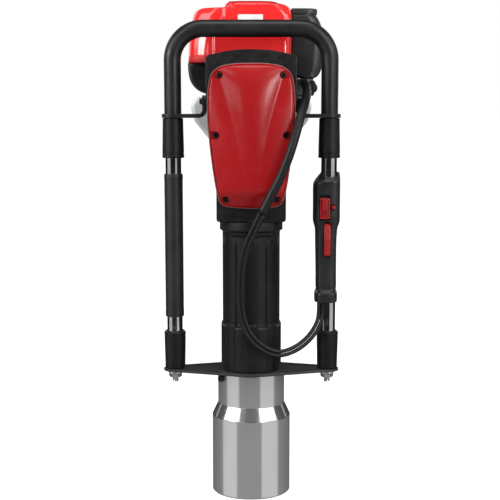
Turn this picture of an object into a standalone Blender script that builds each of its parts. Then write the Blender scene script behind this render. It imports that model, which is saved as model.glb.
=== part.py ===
"""Petrol post driver: a small four-stroke engine turns a crank, and the crank drives an air-cushioned ram
that strikes an anvil inside the steel drive sleeve. The operator holds a sprung tubular frame.

All sizes below are millimetres in the machine's own frame: X to the right, Y to the back, Z up,
the barrel's axis on X = Y = 0 and the sleeve's rim on Z = 0. An empty shifts the machine so that the
origin lies under the middle of its bounding box.
"""

import math

import bmesh
import bpy
from mathutils import Matrix, Vector

MM = 0.001
BARREL_AXIS_Y = -91.5  # where the barrel's axis lies once the machine is centred on the origin
GAP = 0.3  # clearance left between pieces that touch
RUNNING = 0.35  # radial clearance of a turning or sliding fit

# Drive sleeve, bracket and barrel
POST_BORE_R = 52.5
SLEEVE_R = 61.0
SLEEVE_NECK_R = 52.0
SLEEVE_SHOULDER_Z = (123.5, 143.0)
SLEEVE_WEB_Z = (128.0, 143.0)
NOSE_R = 37.0
NOSE_BORE_R = 27.0
NOSE_BOTTOM_Z = 145.0
PLATE_Z = (193.0, 197.0)
COLLAR_R = 46.6
COLLAR_TOP_Z = 272.0
RIB_R = 44.2
GROOVE_R = 41.2
FLANGE_R = 48.3
FLANGE_Z = (415.0, 428.7)
LINER_R = (30.0, 36.0)
LINER_Z = (246.0, 484.0)
BUFFER_Z = (222.3, 237.0)
LOCK_SCREW_Z = 185.2
LOCK_HOLE_R = 4.3
LOCK_SCREW_TURN = 30.0  # degrees from the left side towards the front
RIBS = 8

# Gear case and its crank drive
CASE_Y = (-38.0, 38.0)
CASE_BOTTOM_Z = 429.0
CASE_BACK_WALL_Y = 28.0
COVER_FRONT_Y = -62.0
COVER_WALL_INSET = 15.0
GEAR_MODULE = 1.5
CRANK_TEETH = 54
PINION_TEETH = 11
CRANK_Z = 581.0
ENGINE_Z = CRANK_Z + GEAR_MODULE * (CRANK_TEETH + PINION_TEETH) / 2
GEAR_Y = (14.0, 26.0)
CRANK_THROW = 12.0
CONROD_LENGTH = 130.0
PISTON_Z = (421.0, 478.0)
RAM_Z = (280.0, 358.0)
ANVIL_Z = (86.0, 258.0)
ANVIL_SHANK_R = 20.0

# Handle frame
FRAME_X = 119.0
LOOP_R = 13.0
LOOP_BORE_R = 12.3
LOOP_TOP_Z = 717.0
LOOP_BEND_R = 47.0
LOOP_LEG_END_Z = 541.0
ROD_R = 12.0
ROD_BORE_R = 10.0
ROD_Z = (222.0, 600.0)
STUD_R = 5.0
STUD_END_Z = 175.0
NUT_R = 9.2
NUT_FLANGE_R = 11.0
LEFT_GRIP_R = 14.5
LEFT_GRIP_Z = (279.0, 500.0)
DAMPER_R = 16.8
LOWER_DAMPER_Z = (197.3, 257.0)
UPPER_DAMPER_Z = (524.0, 584.0)
UPPER_PLATE_Z = (584.3, 590.3)
BRACKET_TAB_X = 67.8
BRACKET_TOP_Z = 618.0
BRACKET_HALF_DEPTH = 17.0

# Throttle grip
THROTTLE_X = 115.5
THROTTLE_HEAD_Z = (426.0, 502.5)
THROTTLE_COLLAR_Z = (303.0, 320.0)
TRIGGER_PIVOT = (116.0, -16.5, 422.0)
LOCKOUT_PIVOT = (116.0, 20.0, 420.0)
SWITCH_CENTRE = (112.0, 448.0)
BUTTON_CENTRE = (125.5, 450.0)
PADDLE_HALF_WIDTH = 4.9
SLOT_HALF_WIDTH = 5.5

# Engine
HOUSING_Y = (38.3, 66.0, 94.0)
CRANKCASE_Y = (94.5, 174.2)
SHROUD_Y = (45.0, 177.0)
SHROUD_BOTTOM_Z = 669.0
MUFFLER_Y = (72.0, 146.0)
EXHAUST = (-74.0, 645.0)
GUARD_Y = (62.0, 150.0)
FILTER_COVER_Y = (67.0, 150.0)
SHAFT_R = 6.0
SHAFT_Y = (47.0, 232.0)
FLYWHEEL_Y = (70.0, 88.0)
CYLINDER_Z = (690.3, 742.0)
CYLINDER_BORE_R = 19.5
TANK_Y = (62.0, 177.5)
STARTER_Y = (178.3, 245.0)
STARTER_R = 62.0
ROPE_Y = 222.0
REEL_R = 25.2
ROPE_Z = ENGINE_Z + REEL_R + 1.8
CARB_FERRULE = (83.0, 67.0, 637.0)
FILLER = (76.0, 157.0)
CHOKE_PIVOT = (96.0, 75.6, 637.0)
PRIMER_CENTRE = (98.3, 112.0, 631.0)

# Throttle cable and switch lead, from the grip to where they enter the conduit, then the conduit
LEAD_R = 3.0
LEAD_SPACING = 3.2
CONDUIT_R = 6.8
LEAD_ROUTE = [
    (107.5, -17, 302.7), (107.5, -17, 288), (104, -21, 271), (92, -29, 253), (75, -38, 239),
    (56, -46, 231), (38, -52, 230), (18, -56, 239), (0, -58, 256), (-11.5, -57, 279),
    (-16, -56, 308), (-16, -56, 339), (-13, -58, 369), (-6, -62, 397), (5, -67, 421), (16, -71, 445),
]
CONDUIT_ROUTE = [
    (16.3, -71.1, 445.6), (30, -74, 473), (44, -76, 501), (56, -76, 531), (65, -71, 560), (72, -58, 584),
    (79, -34, 604), (84, -4, 619), (85, 28, 630), (83.4, 52, 636.4), (83, 66.6, 637),
]

COLOURS = {
    "black_paint": ((0.012, 0.012, 0.013), 0.45, 0.0),
    "black_plastic": ((0.016, 0.016, 0.017), 0.55, 0.0),
    "black_rubber": ((0.02, 0.02, 0.02), 0.85, 0.0),
    "red_gloss": ((0.62, 0.012, 0.014), 0.2, 0.0),
    "red_satin": ((0.42, 0.01, 0.014), 0.38, 0.0),
    "steel": ((0.55, 0.56, 0.57), 0.32, 1.0),
    "chrome": ((0.75, 0.76, 0.78), 0.1, 1.0),
    "cast_aluminium": ((0.35, 0.35, 0.36), 0.5, 1.0),
    "tank_plastic": ((0.78, 0.79, 0.78), 0.4, 0.0),
    "gasket": ((0.1, 0.1, 0.11), 0.8, 0.0),
}

# Every body that moves has an empty on its joint's axis, and its pieces hang from that empty
BODY_ORIGINS = {
    "machine": (0, 0, 0),
    "handle": (0, 0, PLATE_Z[1]),
    "trigger": TRIGGER_PIVOT,
    "lockout": LOCKOUT_PIVOT,
    "switch": (SWITCH_CENTRE[0], -18, SWITCH_CENTRE[1]),
    "button": (BUTTON_CENTRE[0], -18, BUTTON_CENTRE[1]),
    "crank": (0, 20, CRANK_Z),
    "conrod": (0, 0, CRANK_Z + CRANK_THROW),
    "piston": (0, 0, PISTON_Z[0]),
    "ram": (0, 0, RAM_Z[0]),
    "anvil": (0, 0, ANVIL_Z[0]),
    "drum": (0, 50, ENGINE_Z),
    "rotor": (0, 80, ENGINE_Z),
    "reel": (0, ROPE_Y, ENGINE_Z),
    "starter_grip": (STARTER_R, ROPE_Y, ROPE_Z),
    "fuel_cap": (FILLER[0], FILLER[1], 617),
    "choke": CHOKE_PIVOT,
    "primer": PRIMER_CENTRE,
}

for old in list(bpy.data.objects):
    bpy.data.objects.remove(old)


# ---------------------------------------------------------------- objects, bodies and materials


def make_material(name):
    colour, roughness, metallic = COLOURS[name]
    material = bpy.data.materials.new(name)
    material.use_nodes = True
    shader = material.node_tree.nodes["Principled BSDF"]
    shader.inputs["Base Color"].default_value = (*colour, 1)
    shader.inputs["Roughness"].default_value = roughness
    shader.inputs["Metallic"].default_value = metallic
    material.diffuse_color = (*colour, 1)
    return material


def make_empty(name, location, parent=None):
    empty = bpy.data.objects.new(name, None)
    empty.location = location
    empty.parent = parent
    bpy.context.scene.collection.objects.link(empty)
    return empty


MATERIALS = {name: make_material(name) for name in COLOURS}
MACHINE_FRAME = make_empty("post_driver", (0, BARREL_AXIS_Y * MM, 0))
BODIES = {
    name: make_empty("body_" + name, Vector(origin) * MM, MACHINE_FRAME)
    for name, origin in BODY_ORIGINS.items()
}


def object_from(bm, name="solid"):
    bmesh.ops.recalc_face_normals(bm, faces=bm.faces)
    mesh = bpy.data.meshes.new(name)
    bm.to_mesh(mesh)
    bm.free()
    obj = bpy.data.objects.new(name, mesh)
    bpy.context.scene.collection.objects.link(obj)
    return obj


def node(name, solid, body, material, smooth_angle=35):
    """Names a finished solid and hangs it from its body's empty, its mesh measured from there in metres."""
    solid.name = name
    solid.data.name = name
    solid.data.transform(Matrix.Scale(MM, 4) @ Matrix.Translation(-Vector(BODY_ORIGINS[body])))
    solid.data.materials.clear()
    solid.data.materials.append(MATERIALS[material])
    solid.data.shade_smooth()
    solid.data.set_sharp_from_angle(angle=math.radians(smooth_angle))
    solid.parent = BODIES[body]
    return solid


# ---------------------------------------------------------------- solids


def turned(profile, centre=(0, 0), axis="Z", segments=28):
    """Spins a closed profile of (radius, height) points about an axis. A radius of 0 lies on the axis.
    centre is the axis's place: (x, y) for Z, (x, z) for Y and (y, z) for X."""
    bm = bmesh.new()
    rings = []
    for radius, height in profile:
        count = segments if radius else 1
        ring = []
        for i in range(count):
            turn = 2 * math.pi * i / segments
            u, v = centre[0] + radius * math.cos(turn), centre[1] + radius * math.sin(turn)
            place = {"Z": (u, v, height), "Y": (u, height, v), "X": (height, u, v)}[axis]
            ring.append(bm.verts.new(place))
        rings.append(ring)
    for first, second in zip(rings, rings[1:] + rings[:1]):
        for i in range(segments):
            j = (i + 1) % segments
            corners = [first[i % len(first)], first[j % len(first)]]
            corners += [second[j % len(second)], second[i % len(second)]]
            corners = list(dict.fromkeys(corners))
            if len(corners) > 2:
                bm.faces.new(corners)
    return object_from(bm)


def rod(centre, radius, start, end, axis="Z", segments=18):
    return turned([(0, start), (radius, start), (radius, end), (0, end)], centre, axis, segments)


def ring(centre, inner, outer, start, end, axis="Z", segments=28):
    profile = [(inner, start), (outer, start), (outer, end), (inner, end)]
    return turned(profile, centre, axis, segments)


def loft(sections):
    """A closed solid through loops of 3D points, all with the same number of points."""
    bm = bmesh.new()
    loops = [[bm.verts.new(point) for point in section] for section in sections]
    for first, second in zip(loops, loops[1:]):
        for i in range(len(first)):
            j = (i + 1) % len(first)
            bm.faces.new((first[i], first[j], second[j], second[i]))
    bm.faces.new(loops[0][::-1])
    bm.faces.new(loops[-1])
    return object_from(bm)


def prism(outline, start, end, axis="Y"):
    """Extrudes a 2D outline: (x, z) points along Y, (x, y) along Z or (y, z) along X."""
    order = {"Y": lambda a, b, h: (a, h, b), "Z": lambda a, b, h: (a, b, h), "X": lambda a, b, h: (h, a, b)}
    return loft([[order[axis](a, b, height) for a, b in outline] for height in (start, end)])


def box(low, high):
    outline = [(low[0], low[1]), (high[0], low[1]), (high[0], high[1]), (low[0], high[1])]
    return prism(outline, low[2], high[2], "Z")


def swept(path, radius, bore=0.0, sides=20):
    """A round bar or tube along a path of points, its section turned with the path and never twisted."""
    path = [Vector(point) for point in path]
    count = len(path)
    tangents = [(path[min(i + 1, count - 1)] - path[max(i - 1, 0)]).normalized() for i in range(count)]
    across = tangents[0].orthogonal().normalized()
    bm = bmesh.new()
    walls = {size: [] for size in ((radius, bore) if bore else (radius,))}
    for point, tangent in zip(path, tangents):
        across = (across - across.dot(tangent) * tangent).normalized()
        beside = tangent.cross(across)
        for size, rings in walls.items():
            turns = [2 * math.pi * i / sides for i in range(sides)]
            places = [point + size * (across * math.cos(t) + beside * math.sin(t)) for t in turns]
            rings.append([bm.verts.new(place) for place in places])
    for rings in walls.values():
        for first, second in zip(rings, rings[1:]):
            for i in range(sides):
                bm.faces.new((first[i], first[i - 1], second[i - 1], second[i]))
    for end in (0, -1):
        if not bore:
            bm.faces.new(walls[radius][end])
            continue
        outer, inner = walls[radius][end], walls[bore][end]
        for i in range(sides):
            bm.faces.new((outer[i], outer[i - 1], inner[i - 1], inner[i]))
    return object_from(bm)


def combine(solid, other, operation):
    """Applies a Boolean and deletes the second solid."""
    modifier = solid.modifiers.new(operation.lower(), "BOOLEAN")
    modifier.operation = operation
    modifier.object = other
    graph = bpy.context.evaluated_depsgraph_get()
    result = bpy.data.meshes.new_from_object(solid.evaluated_get(graph))
    solid.modifiers.remove(modifier)
    solid.data = result
    bpy.data.objects.remove(other)
    return solid


def cut(solid, *tools):
    for tool in tools:
        combine(solid, tool, "DIFFERENCE")
    return solid


def join(solid, *others):
    for other in others:
        combine(solid, other, "UNION")
    return solid


# ---------------------------------------------------------------- outlines and paths


def smooth_through(points, steps, closed=False):
    """Points along a Catmull-Rom curve through the given ones."""
    points = [Vector(point) for point in points]
    count = len(points)
    if closed:
        around = [points[-1], *points, points[0], points[1]]
    else:
        around = [2 * points[0] - points[1], *points, 2 * points[-1] - points[-2]]
    result = []
    for i in range(count if closed else count - 1):
        a, b, c, d = around[i : i + 4]
        for step in range(steps):
            t = step / steps
            square, cube = 2 * a - 5 * b + 4 * c - d, 3 * b - a - 3 * c + d
            result.append(0.5 * (2 * b + (c - a) * t + square * t**2 + cube * t**3))
    if not closed:
        result.append(points[-1])
    return result


def mirrored(right_half):
    """Closes an outline given by its right half, from the top middle down to the bottom."""
    left_half = [(-x, z) for x, z in reversed(right_half) if x > 0.01]
    return right_half + left_half


def inset(outline, distance):
    """Moves each point of an outline inwards, square to the outline."""
    points = [Vector(point) for point in outline]
    turning = sum(points[i - 1].cross(points[i]) for i in range(len(points)))
    side = 1 if turning > 0 else -1
    result = []
    for i, point in enumerate(points):
        along = (points[(i + 1) % len(points)] - points[i - 1]).normalized()
        result.append(tuple(point + side * distance * Vector((-along.y, along.x))))
    return result


def shrunk(outline, distance):
    """Scales an outline about its middle so that its sides move in by a distance too large for inset."""
    xs, zs = zip(*outline)
    middle = ((min(xs) + max(xs)) / 2, (min(zs) + max(zs)) / 2)
    half = (middle[0] - min(xs), middle[1] - min(zs))
    return [
        tuple(m + (value - m) * (1 - distance / h) for value, m, h in zip(point, middle, half))
        for point in outline
    ]


def arc(centre, radius, start_degrees, end_degrees, steps):
    angles = [start_degrees + (end_degrees - start_degrees) * i / steps for i in range(steps + 1)]
    return [
        (centre[0] + radius * math.cos(math.radians(a)), centre[1] + radius * math.sin(math.radians(a)))
        for a in angles
    ]


def rounded_rectangle(centre, half_width, half_height, corner, steps=4):
    x, z = half_width - corner, half_height - corner
    outline = []
    for sx, sz, start in ((1, 1, 0), (-1, 1, 90), (-1, -1, 180), (1, -1, 270)):
        outline += arc((centre[0] + sx * x, centre[1] + sz * z), corner, start, start + 90, steps)
    return outline


def superellipse(centre, half_width, half_depth, power=3.0, points=20):
    outline = []
    for i in range(points):
        c, s = math.cos(2 * math.pi * i / points), math.sin(2 * math.pi * i / points)
        x = half_width * math.copysign(abs(c) ** (2 / power), c)
        y = half_depth * math.copysign(abs(s) ** (2 / power), s)
        outline.append((centre[0] + x, centre[1] + y))
    return outline


def gear_outline(teeth, centre, phase):
    """Involute teeth with 25 degree flanks, one of them centred on the phase angle in degrees."""
    pressure = math.radians(25)
    pitch_r = GEAR_MODULE * teeth / 2
    base_r = pitch_r * math.cos(pressure)
    tip_r = pitch_r + 0.75 * GEAR_MODULE
    root_r = pitch_r - 1.1 * GEAR_MODULE
    backlash = 0.26

    def half_angle(radius):
        roll = math.acos(min(1.0, base_r / radius))
        involute = math.tan(roll) - roll
        at_pitch = math.tan(pressure) - pressure
        return math.pi / (2 * teeth) - backlash / (2 * pitch_r) + at_pitch - involute

    flank_start = max(root_r, base_r)
    if flank_start > root_r:
        flank = [(root_r, half_angle(flank_start) + 0.01)]
        flank += [(radius, half_angle(radius)) for radius in (flank_start, pitch_r, tip_r)]
    else:
        flank = [(radius, half_angle(radius)) for radius in (root_r, tip_r)]
    outline = []
    for tooth in range(teeth):
        middle = math.radians(phase) + 2 * math.pi * tooth / teeth
        sides = [(r, middle - a) for r, a in flank] + [(r, middle + a) for r, a in reversed(flank)]
        outline += [(centre[0] + r * math.cos(a), centre[1] + r * math.sin(a)) for r, a in sides]
    return outline


def cover_outline(steps=2):
    right = [
        (0, 664, 0), (27, 663, 0), (50, 657, 0), (61.5, 640, 0), (65, 600, 0), (62.5, 555, 0), (57, 508, 0),
        (50, 470, 0), (40, 454, 0), (0, 450, 0),
    ]
    return mirrored([tuple(point.to_2d()) for point in smooth_through(right, steps)])


def case_outline():
    right = [(0, 685), (30, 683.2), (57, 677.6)]
    right += arc((59.5, 669.5), 8, 72, 0, 3)
    right += [(67.5, 611), (61, 560), (57, 523), (53.3, 492), (52.5, 470), (52.5, CASE_BOTTOM_Z)]
    return mirrored(right)


# ---------------------------------------------------------------- sleeve, bracket and barrel


def turned_to_lock(solid):
    """Turns a solid made on the left side round to where the lock screw sits."""
    solid.data.transform(Matrix.Rotation(math.radians(LOCK_SCREW_TURN), 4, "Z"))
    return solid


def build_drive_sleeve():
    low, high = SLEEVE_SHOULDER_Z
    web_low, web_high = SLEEVE_WEB_Z
    top = PLATE_Z[0] - GAP
    profile = [
        (POST_BORE_R + 1.5, 0), (SLEEVE_R - 2, 0), (SLEEVE_R, 2), (SLEEVE_R, low), (SLEEVE_NECK_R, high),
        (SLEEVE_NECK_R, top), (NOSE_R + RUNNING, top), (NOSE_R + RUNNING, web_high),
        (ANVIL_SHANK_R + 1, web_high), (ANVIL_SHANK_R + 1, web_low), (POST_BORE_R - 8, web_low),
        (POST_BORE_R, web_low - 10), (POST_BORE_R, 2),
    ]
    sleeve = turned(profile, segments=40)
    cut(sleeve, turned_to_lock(rod((0, LOCK_SCREW_Z), LOCK_HOLE_R, -SLEEVE_NECK_R - 5, -NOSE_R + 5, "X", 16)))
    node("drive_sleeve", sleeve, "machine", "steel")
    head, tip = -SLEEVE_NECK_R - 5.5, -NOSE_R + 3.5
    profile = [
        (0, head), (4, head), (5.2, head + 1), (5.2, -SLEEVE_NECK_R - GAP), (4, -SLEEVE_NECK_R - GAP),
        (4, tip), (0, tip),
    ]
    screw = turned_to_lock(turned(profile, (0, LOCK_SCREW_Z), "X", 16))
    node("sleeve_lock_screw", screw, "machine", "black_paint")


def build_lower_bracket():
    """A flat plate: a round middle and two arms that taper to round ends."""
    middle_r, end_r = 55.0, 18.0
    tangent = math.degrees(math.acos((middle_r - end_r) / FRAME_X))
    right = arc((FRAME_X, 0), end_r, -tangent, tangent, 8)
    top = arc((0, 0), middle_r, tangent, 180 - tangent, 8)
    left = arc((-FRAME_X, 0), end_r, 180 - tangent, 180 + tangent, 8)
    bottom = arc((0, 0), middle_r, 180 + tangent, 360 - tangent, 8)
    plate = prism(right + top + left + bottom, *PLATE_Z, "Z")
    reach = (PLATE_Z[0] - 5, PLATE_Z[1] + 5)
    cut(plate, rod((0, 0), NOSE_R + RUNNING, *reach, segments=32))
    for side in (-1, 1):
        cut(plate, rod((side * FRAME_X, 0), STUD_R + 0.6, *reach, segments=14))
    node("lower_bracket", plate, "machine", "black_paint")


def rib_section(z):
    """The barrel's section: ribs with sloping sides, one of them facing the front."""
    section = []
    pitch = 360 / RIBS
    for rib in range(RIBS):
        middle = -90 + pitch * rib
        section += [(RIB_R, middle + share * pitch) for share in (-0.27, 0, 0.27)]
        section += [(GROOVE_R, middle + share * pitch) for share in (0.33, 0.5, 0.67)]
    return [(r * math.cos(math.radians(a)), r * math.sin(math.radians(a)), z) for r, a in section]


def build_barrel():
    collar_low = PLATE_Z[1] + GAP
    body = loft([rib_section(COLLAR_TOP_Z - 8), rib_section(FLANGE_Z[0] + 4)])
    low, high = FLANGE_Z
    profile = [(0, low - 5), (RIB_R - 1, low - 5), (FLANGE_R, low), (FLANGE_R, high), (0, high)]
    join(body, turned(profile, segments=32))
    profile = [
        (0, NOSE_BOTTOM_Z), (NOSE_R, NOSE_BOTTOM_Z), (NOSE_R, collar_low), (COLLAR_R, collar_low),
        (COLLAR_R, COLLAR_TOP_Z - 6), (COLLAR_R - 1.5, COLLAR_TOP_Z - 2), (COLLAR_R - 5, COLLAR_TOP_Z),
        (0, COLLAR_TOP_Z),
    ]
    join(body, turned(profile, segments=32))
    bore = turned(
        [(0, NOSE_BOTTOM_Z - 5), (NOSE_BORE_R, NOSE_BOTTOM_Z - 5), (NOSE_BORE_R, BUFFER_Z[0] - GAP),
         (LINER_R[1] + RUNNING, BUFFER_Z[0] - GAP), (LINER_R[1] + RUNNING, high + 5), (0, high + 5)],
    )
    cut(body, bore, turned_to_lock(rod((0, LOCK_SCREW_Z), LOCK_HOLE_R, -NOSE_R - 5, -NOSE_R + 4, "X", 16)))
    node("barrel", body, "machine", "black_paint")
    node("cylinder_liner", ring((0, 0), *LINER_R, *LINER_Z), "machine", "steel")
    buffer = ring((0, 0), ANVIL_SHANK_R + 1, LINER_R[1] - 0.2, *BUFFER_Z)
    node("buffer_ring", buffer, "machine", "black_rubber")


# ---------------------------------------------------------------- gear case, cover and crank drive


def build_gear_case():
    front, back = CASE_Y
    case = prism(case_outline(), front, back)
    pocket = prism(shrunk(cover_outline(), COVER_WALL_INSET), front - 5, CASE_BACK_WALL_Y)
    liner_bore = rod((0, 0), LINER_R[1] + RUNNING, CASE_BOTTOM_Z - 5, LINER_Z[1] + 3, segments=28)
    crank_seat = rod((0, CRANK_Z), 16.0, CASE_BACK_WALL_Y - 5, back - 3, "Y", 20)
    pinion_seat = rod((0, ENGINE_Z), 14.0, CASE_BACK_WALL_Y - 5, back + 5, "Y", 20)
    cut(case, pocket, liner_bore, crank_seat, pinion_seat)
    node("gear_case", case, "machine", "black_paint")
    seat = CASE_BACK_WALL_Y + GAP
    crank_bearing = ring((0, CRANK_Z), 8 + RUNNING, 15.7, seat, back - 3 - GAP, "Y", 20)
    node("crank_bearing", crank_bearing, "machine", "steel")
    pinion_bearing = ring((0, ENGINE_Z), SHAFT_R + RUNNING, 13.7, seat, back - GAP, "Y", 20)
    node("pinion_bearing", pinion_bearing, "machine", "steel")


def build_gear_cover():
    """A domed cover, hollow behind, and the gasket between it and the case."""
    gasket_y = (CASE_Y[0] - GAP - 1, CASE_Y[0] - GAP)
    outline = cover_outline()
    gasket = prism(inset(outline, 0.6), *gasket_y)
    cut(gasket, prism(shrunk(outline, COVER_WALL_INSET), gasket_y[0] - 2, gasket_y[1] + 2))
    node("cover_gasket", gasket, "machine", "gasket")
    back = gasket_y[0] - GAP
    front = COVER_FRONT_Y
    steps = ((back, 0), (front + 11, 0), (front + 5, 1.6), (front + 1.5, 5), (front, 10))
    cover = loft([[(x, y, z) for x, z in shrunk(outline, shrink)] for y, shrink in steps])
    cut(cover, prism(shrunk(outline, COVER_WALL_INSET), COVER_FRONT_Y + 4.5, back + 5))
    node("gear_cover", cover, "machine", "red_satin")


def build_crank_drive():
    gear = prism(gear_outline(CRANK_TEETH, (0, CRANK_Z), 90), *GEAR_Y)
    pin_z = CRANK_Z + CRANK_THROW
    join(gear, rod((0, CRANK_Z), 8, GEAR_Y[0] + 2, CASE_Y[1] - 3.6, "Y"))
    join(gear, rod((0, pin_z), 6, -8, GEAR_Y[1] - 2, "Y", 20))
    cut(gear, *[rod((s * 24, CRANK_Z), 9, GEAR_Y[0] - 2, GEAR_Y[1] + 2, "Y", 20) for s in (-1, 1)])
    node("crank_gear", gear, "crank", "steel")

    small_z = pin_z - CONROD_LENGTH
    conrod = rod((0, pin_z), 12.5, -6, 6, "Y", 28)
    join(conrod, box((-6, -4.5, small_z), (6, 4.5, pin_z - 8)))
    join(conrod, rod((0, small_z), 9, -6, 6, "Y", 24), rod((0, small_z), 5, -16, 16, "Y", 20))
    cut(conrod, rod((0, pin_z), 6 + RUNNING, -10, 10, "Y", 24))
    node("connecting_rod", conrod, "conrod", "cast_aluminium")

    sliding_r = LINER_R[0] - RUNNING
    low, high = PISTON_Z
    profile = [
        (0, low), (sliding_r - 1, low), (sliding_r, low + 1), (sliding_r, high), (26, high), (26, low + 8),
        (0, low + 8),
    ]
    node("piston", turned(profile), "piston", "cast_aluminium")
    low, high = RAM_Z
    profile = [
        (0, low), (sliding_r - 3, low), (sliding_r, low + 3), (sliding_r, high - 12),
        (sliding_r - 2, high - 11), (sliding_r - 2, high - 7), (sliding_r, high - 6), (sliding_r, high),
        (0, high),
    ]
    node("ram", turned(profile), "ram", "steel")


def build_anvil():
    foot, top = ANVIL_Z
    shank = ANVIL_SHANK_R
    groove = (BUFFER_Z[1] + 2.5, BUFFER_Z[1] + 6.0)
    profile = [
        (0, foot), (45, foot), (47, foot + 2), (47, foot + 18), (45, foot + 20), (shank, foot + 20),
        (shank, groove[0]), (shank - 3, groove[0]), (shank - 3, groove[1]), (shank, groove[1]),
        (shank, top - 2), (shank - 2, top), (0, top),
    ]
    node("anvil", turned(profile, segments=32), "anvil", "steel")
    stop = ring((0, 0), shank - 2.7, shank + 5.5, groove[0] + GAP, groove[1] - GAP)
    node("anvil_stop_ring", stop, "anvil", "steel")


def build_clutch():
    """The pinion and its drum turn in the case; the shoes turn with the engine and grip the drum at speed."""
    drum_y = HOUSING_Y[0] + 4.7
    profile = [
        (0, 10), (SHAFT_R, 10), (SHAFT_R, drum_y), (29, drum_y), (29, drum_y + 19), (27, drum_y + 19),
        (27, drum_y + 2.5), (0, drum_y + 2.5),
    ]
    drum = turned(profile, (0, ENGINE_Z), "Y", 24)
    half_pitch = 180 / PINION_TEETH
    teeth = gear_outline(PINION_TEETH, (0, ENGINE_Z), -90 + half_pitch)
    join(drum, prism(teeth, GEAR_Y[0] - 1, GEAR_Y[1] + 1))
    node("clutch_drum", drum, "drum", "steel")
    shoes = ring((0, ENGINE_Z), SHAFT_R + RUNNING, 26.3, drum_y + 5, drum_y + 17, "Y", 24)
    for low, high in ((-30, -9), (9, 30)):
        cut(shoes, box((-2, drum_y, ENGINE_Z + low), (2, drum_y + 20, ENGINE_Z + high)))
    node("clutch_shoes", shoes, "rotor", "steel")


# ---------------------------------------------------------------- handle frame


def loop_path():
    """The top loop's centreline: up the left leg, across the top and down the right leg."""
    corner_z = LOOP_TOP_Z - LOOP_BEND_R
    corner_x = FRAME_X - LOOP_BEND_R
    left = arc((-corner_x, corner_z), LOOP_BEND_R, 180, 90, 6)
    right = arc((corner_x, corner_z), LOOP_BEND_R, 90, 0, 6)
    ends = [[(-FRAME_X, LOOP_LEG_END_Z)], [(FRAME_X, LOOP_LEG_END_Z)]]
    return [(x, 0, z) for x, z in ends[0] + left + right + ends[1]]


def build_handle_frame():
    node("top_loop", swept(loop_path(), LOOP_R, LOOP_BORE_R, 16), "handle", "black_paint")
    for side, name in ((-1, "left"), (1, "right")):
        at = (side * FRAME_X, 0)
        low, high = ROD_Z
        profile = [
            (0, STUD_END_Z), (STUD_R, STUD_END_Z), (STUD_R, low), (ROD_R - 1, low), (ROD_R, low + 1),
            (ROD_R, high), (ROD_BORE_R, high), (ROD_BORE_R, low + 10), (0, low + 10),
        ]
        node("side_rod_" + name, turned(profile, at, segments=20), "handle", "chrome")
        nut_top = PLATE_Z[0] - GAP
        nut = prism(arc(at, NUT_R, 0, 300, 5), nut_top - 10.5, nut_top - 1, "Z")
        join(nut, rod(at, NUT_FLANGE_R, nut_top - 2.6, nut_top, segments=24))
        cut(nut, rod(at, STUD_R + 0.2, nut_top - 20, nut_top + 5, segments=20))
        node("frame_nut_" + name, nut, "handle", "steel", 20)
    low, high = LEFT_GRIP_Z
    profile = [
        (ROD_R + GAP, low), (LEFT_GRIP_R - 1, low), (LEFT_GRIP_R, low + 1), (LEFT_GRIP_R, high - 1),
        (LEFT_GRIP_R - 1, high), (ROD_R + GAP, high),
    ]
    node("left_grip", turned(profile, (-FRAME_X, 0), segments=20), "handle", "black_rubber")


def build_dampers_and_brackets():
    for side, name in ((-1, "left"), (1, "right")):
        at = (side * FRAME_X, 0)
        low, high = UPPER_DAMPER_Z
        profile = [
            (ROD_R + 0.6, low), (DAMPER_R - 1, low), (DAMPER_R, low + 1), (DAMPER_R, high),
            (LOOP_R + 0.5, high), (LOOP_R + 0.5, low + 5), (ROD_R + 0.6, low + 5),
        ]
        node("upper_damper_" + name, turned(profile, at, segments=20), "machine", "black_rubber")
        low, high = LOWER_DAMPER_Z
        profile = [
            (ROD_R + 0.6, low), (DAMPER_R, low), (DAMPER_R, high - 1), (DAMPER_R - 1, high),
            (ROD_R + 0.6, high),
        ]
        node("lower_damper_" + name, turned(profile, at, segments=20), "machine", "black_rubber")
        node("upper_bracket_" + name, upper_bracket(side), "machine", "black_paint")
        node("damper_spring_" + name, coil_spring(at), "machine", "steel")


def upper_bracket(side):
    """A strip that lies flat round the loop's leg and bends up to a tab on the gear case's side."""
    low, high = UPPER_PLATE_Z
    wall = high - low
    bend_r = 3.0
    bend = (BRACKET_TAB_X + wall + bend_r, high + bend_r)
    strip = arc(bend, wall + bend_r, 270, 180, 5)
    strip += [(BRACKET_TAB_X, BRACKET_TOP_Z), (BRACKET_TAB_X + wall, BRACKET_TOP_Z)]
    strip += arc(bend, bend_r, 180, 270, 4) + [(FRAME_X, high), (FRAME_X, low)]
    bracket = prism([(side * x, z) for x, z in strip], -BRACKET_HALF_DEPTH, BRACKET_HALF_DEPTH)
    at = (side * FRAME_X, 0)
    join(bracket, rod(at, BRACKET_HALF_DEPTH, low, high, segments=24))
    return cut(bracket, rod(at, LOOP_R + 0.5, low - 5, high + 5, segments=20))


def coil_spring(at):
    wire, mean, turns, steps = 1.4, 8.6, 4, 9
    low = PLATE_Z[1] + wire + GAP
    high = ROD_Z[0] - wire - GAP
    count = turns * steps
    path = []
    for i in range(count + 1):
        turn = 2 * math.pi * i / steps
        x, y = at[0] + mean * math.cos(turn), at[1] + mean * math.sin(turn)
        path.append((x, y, low + (high - low) * i / count))
    return swept(path, wire, sides=5)


# ---------------------------------------------------------------- throttle grip and its controls


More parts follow.
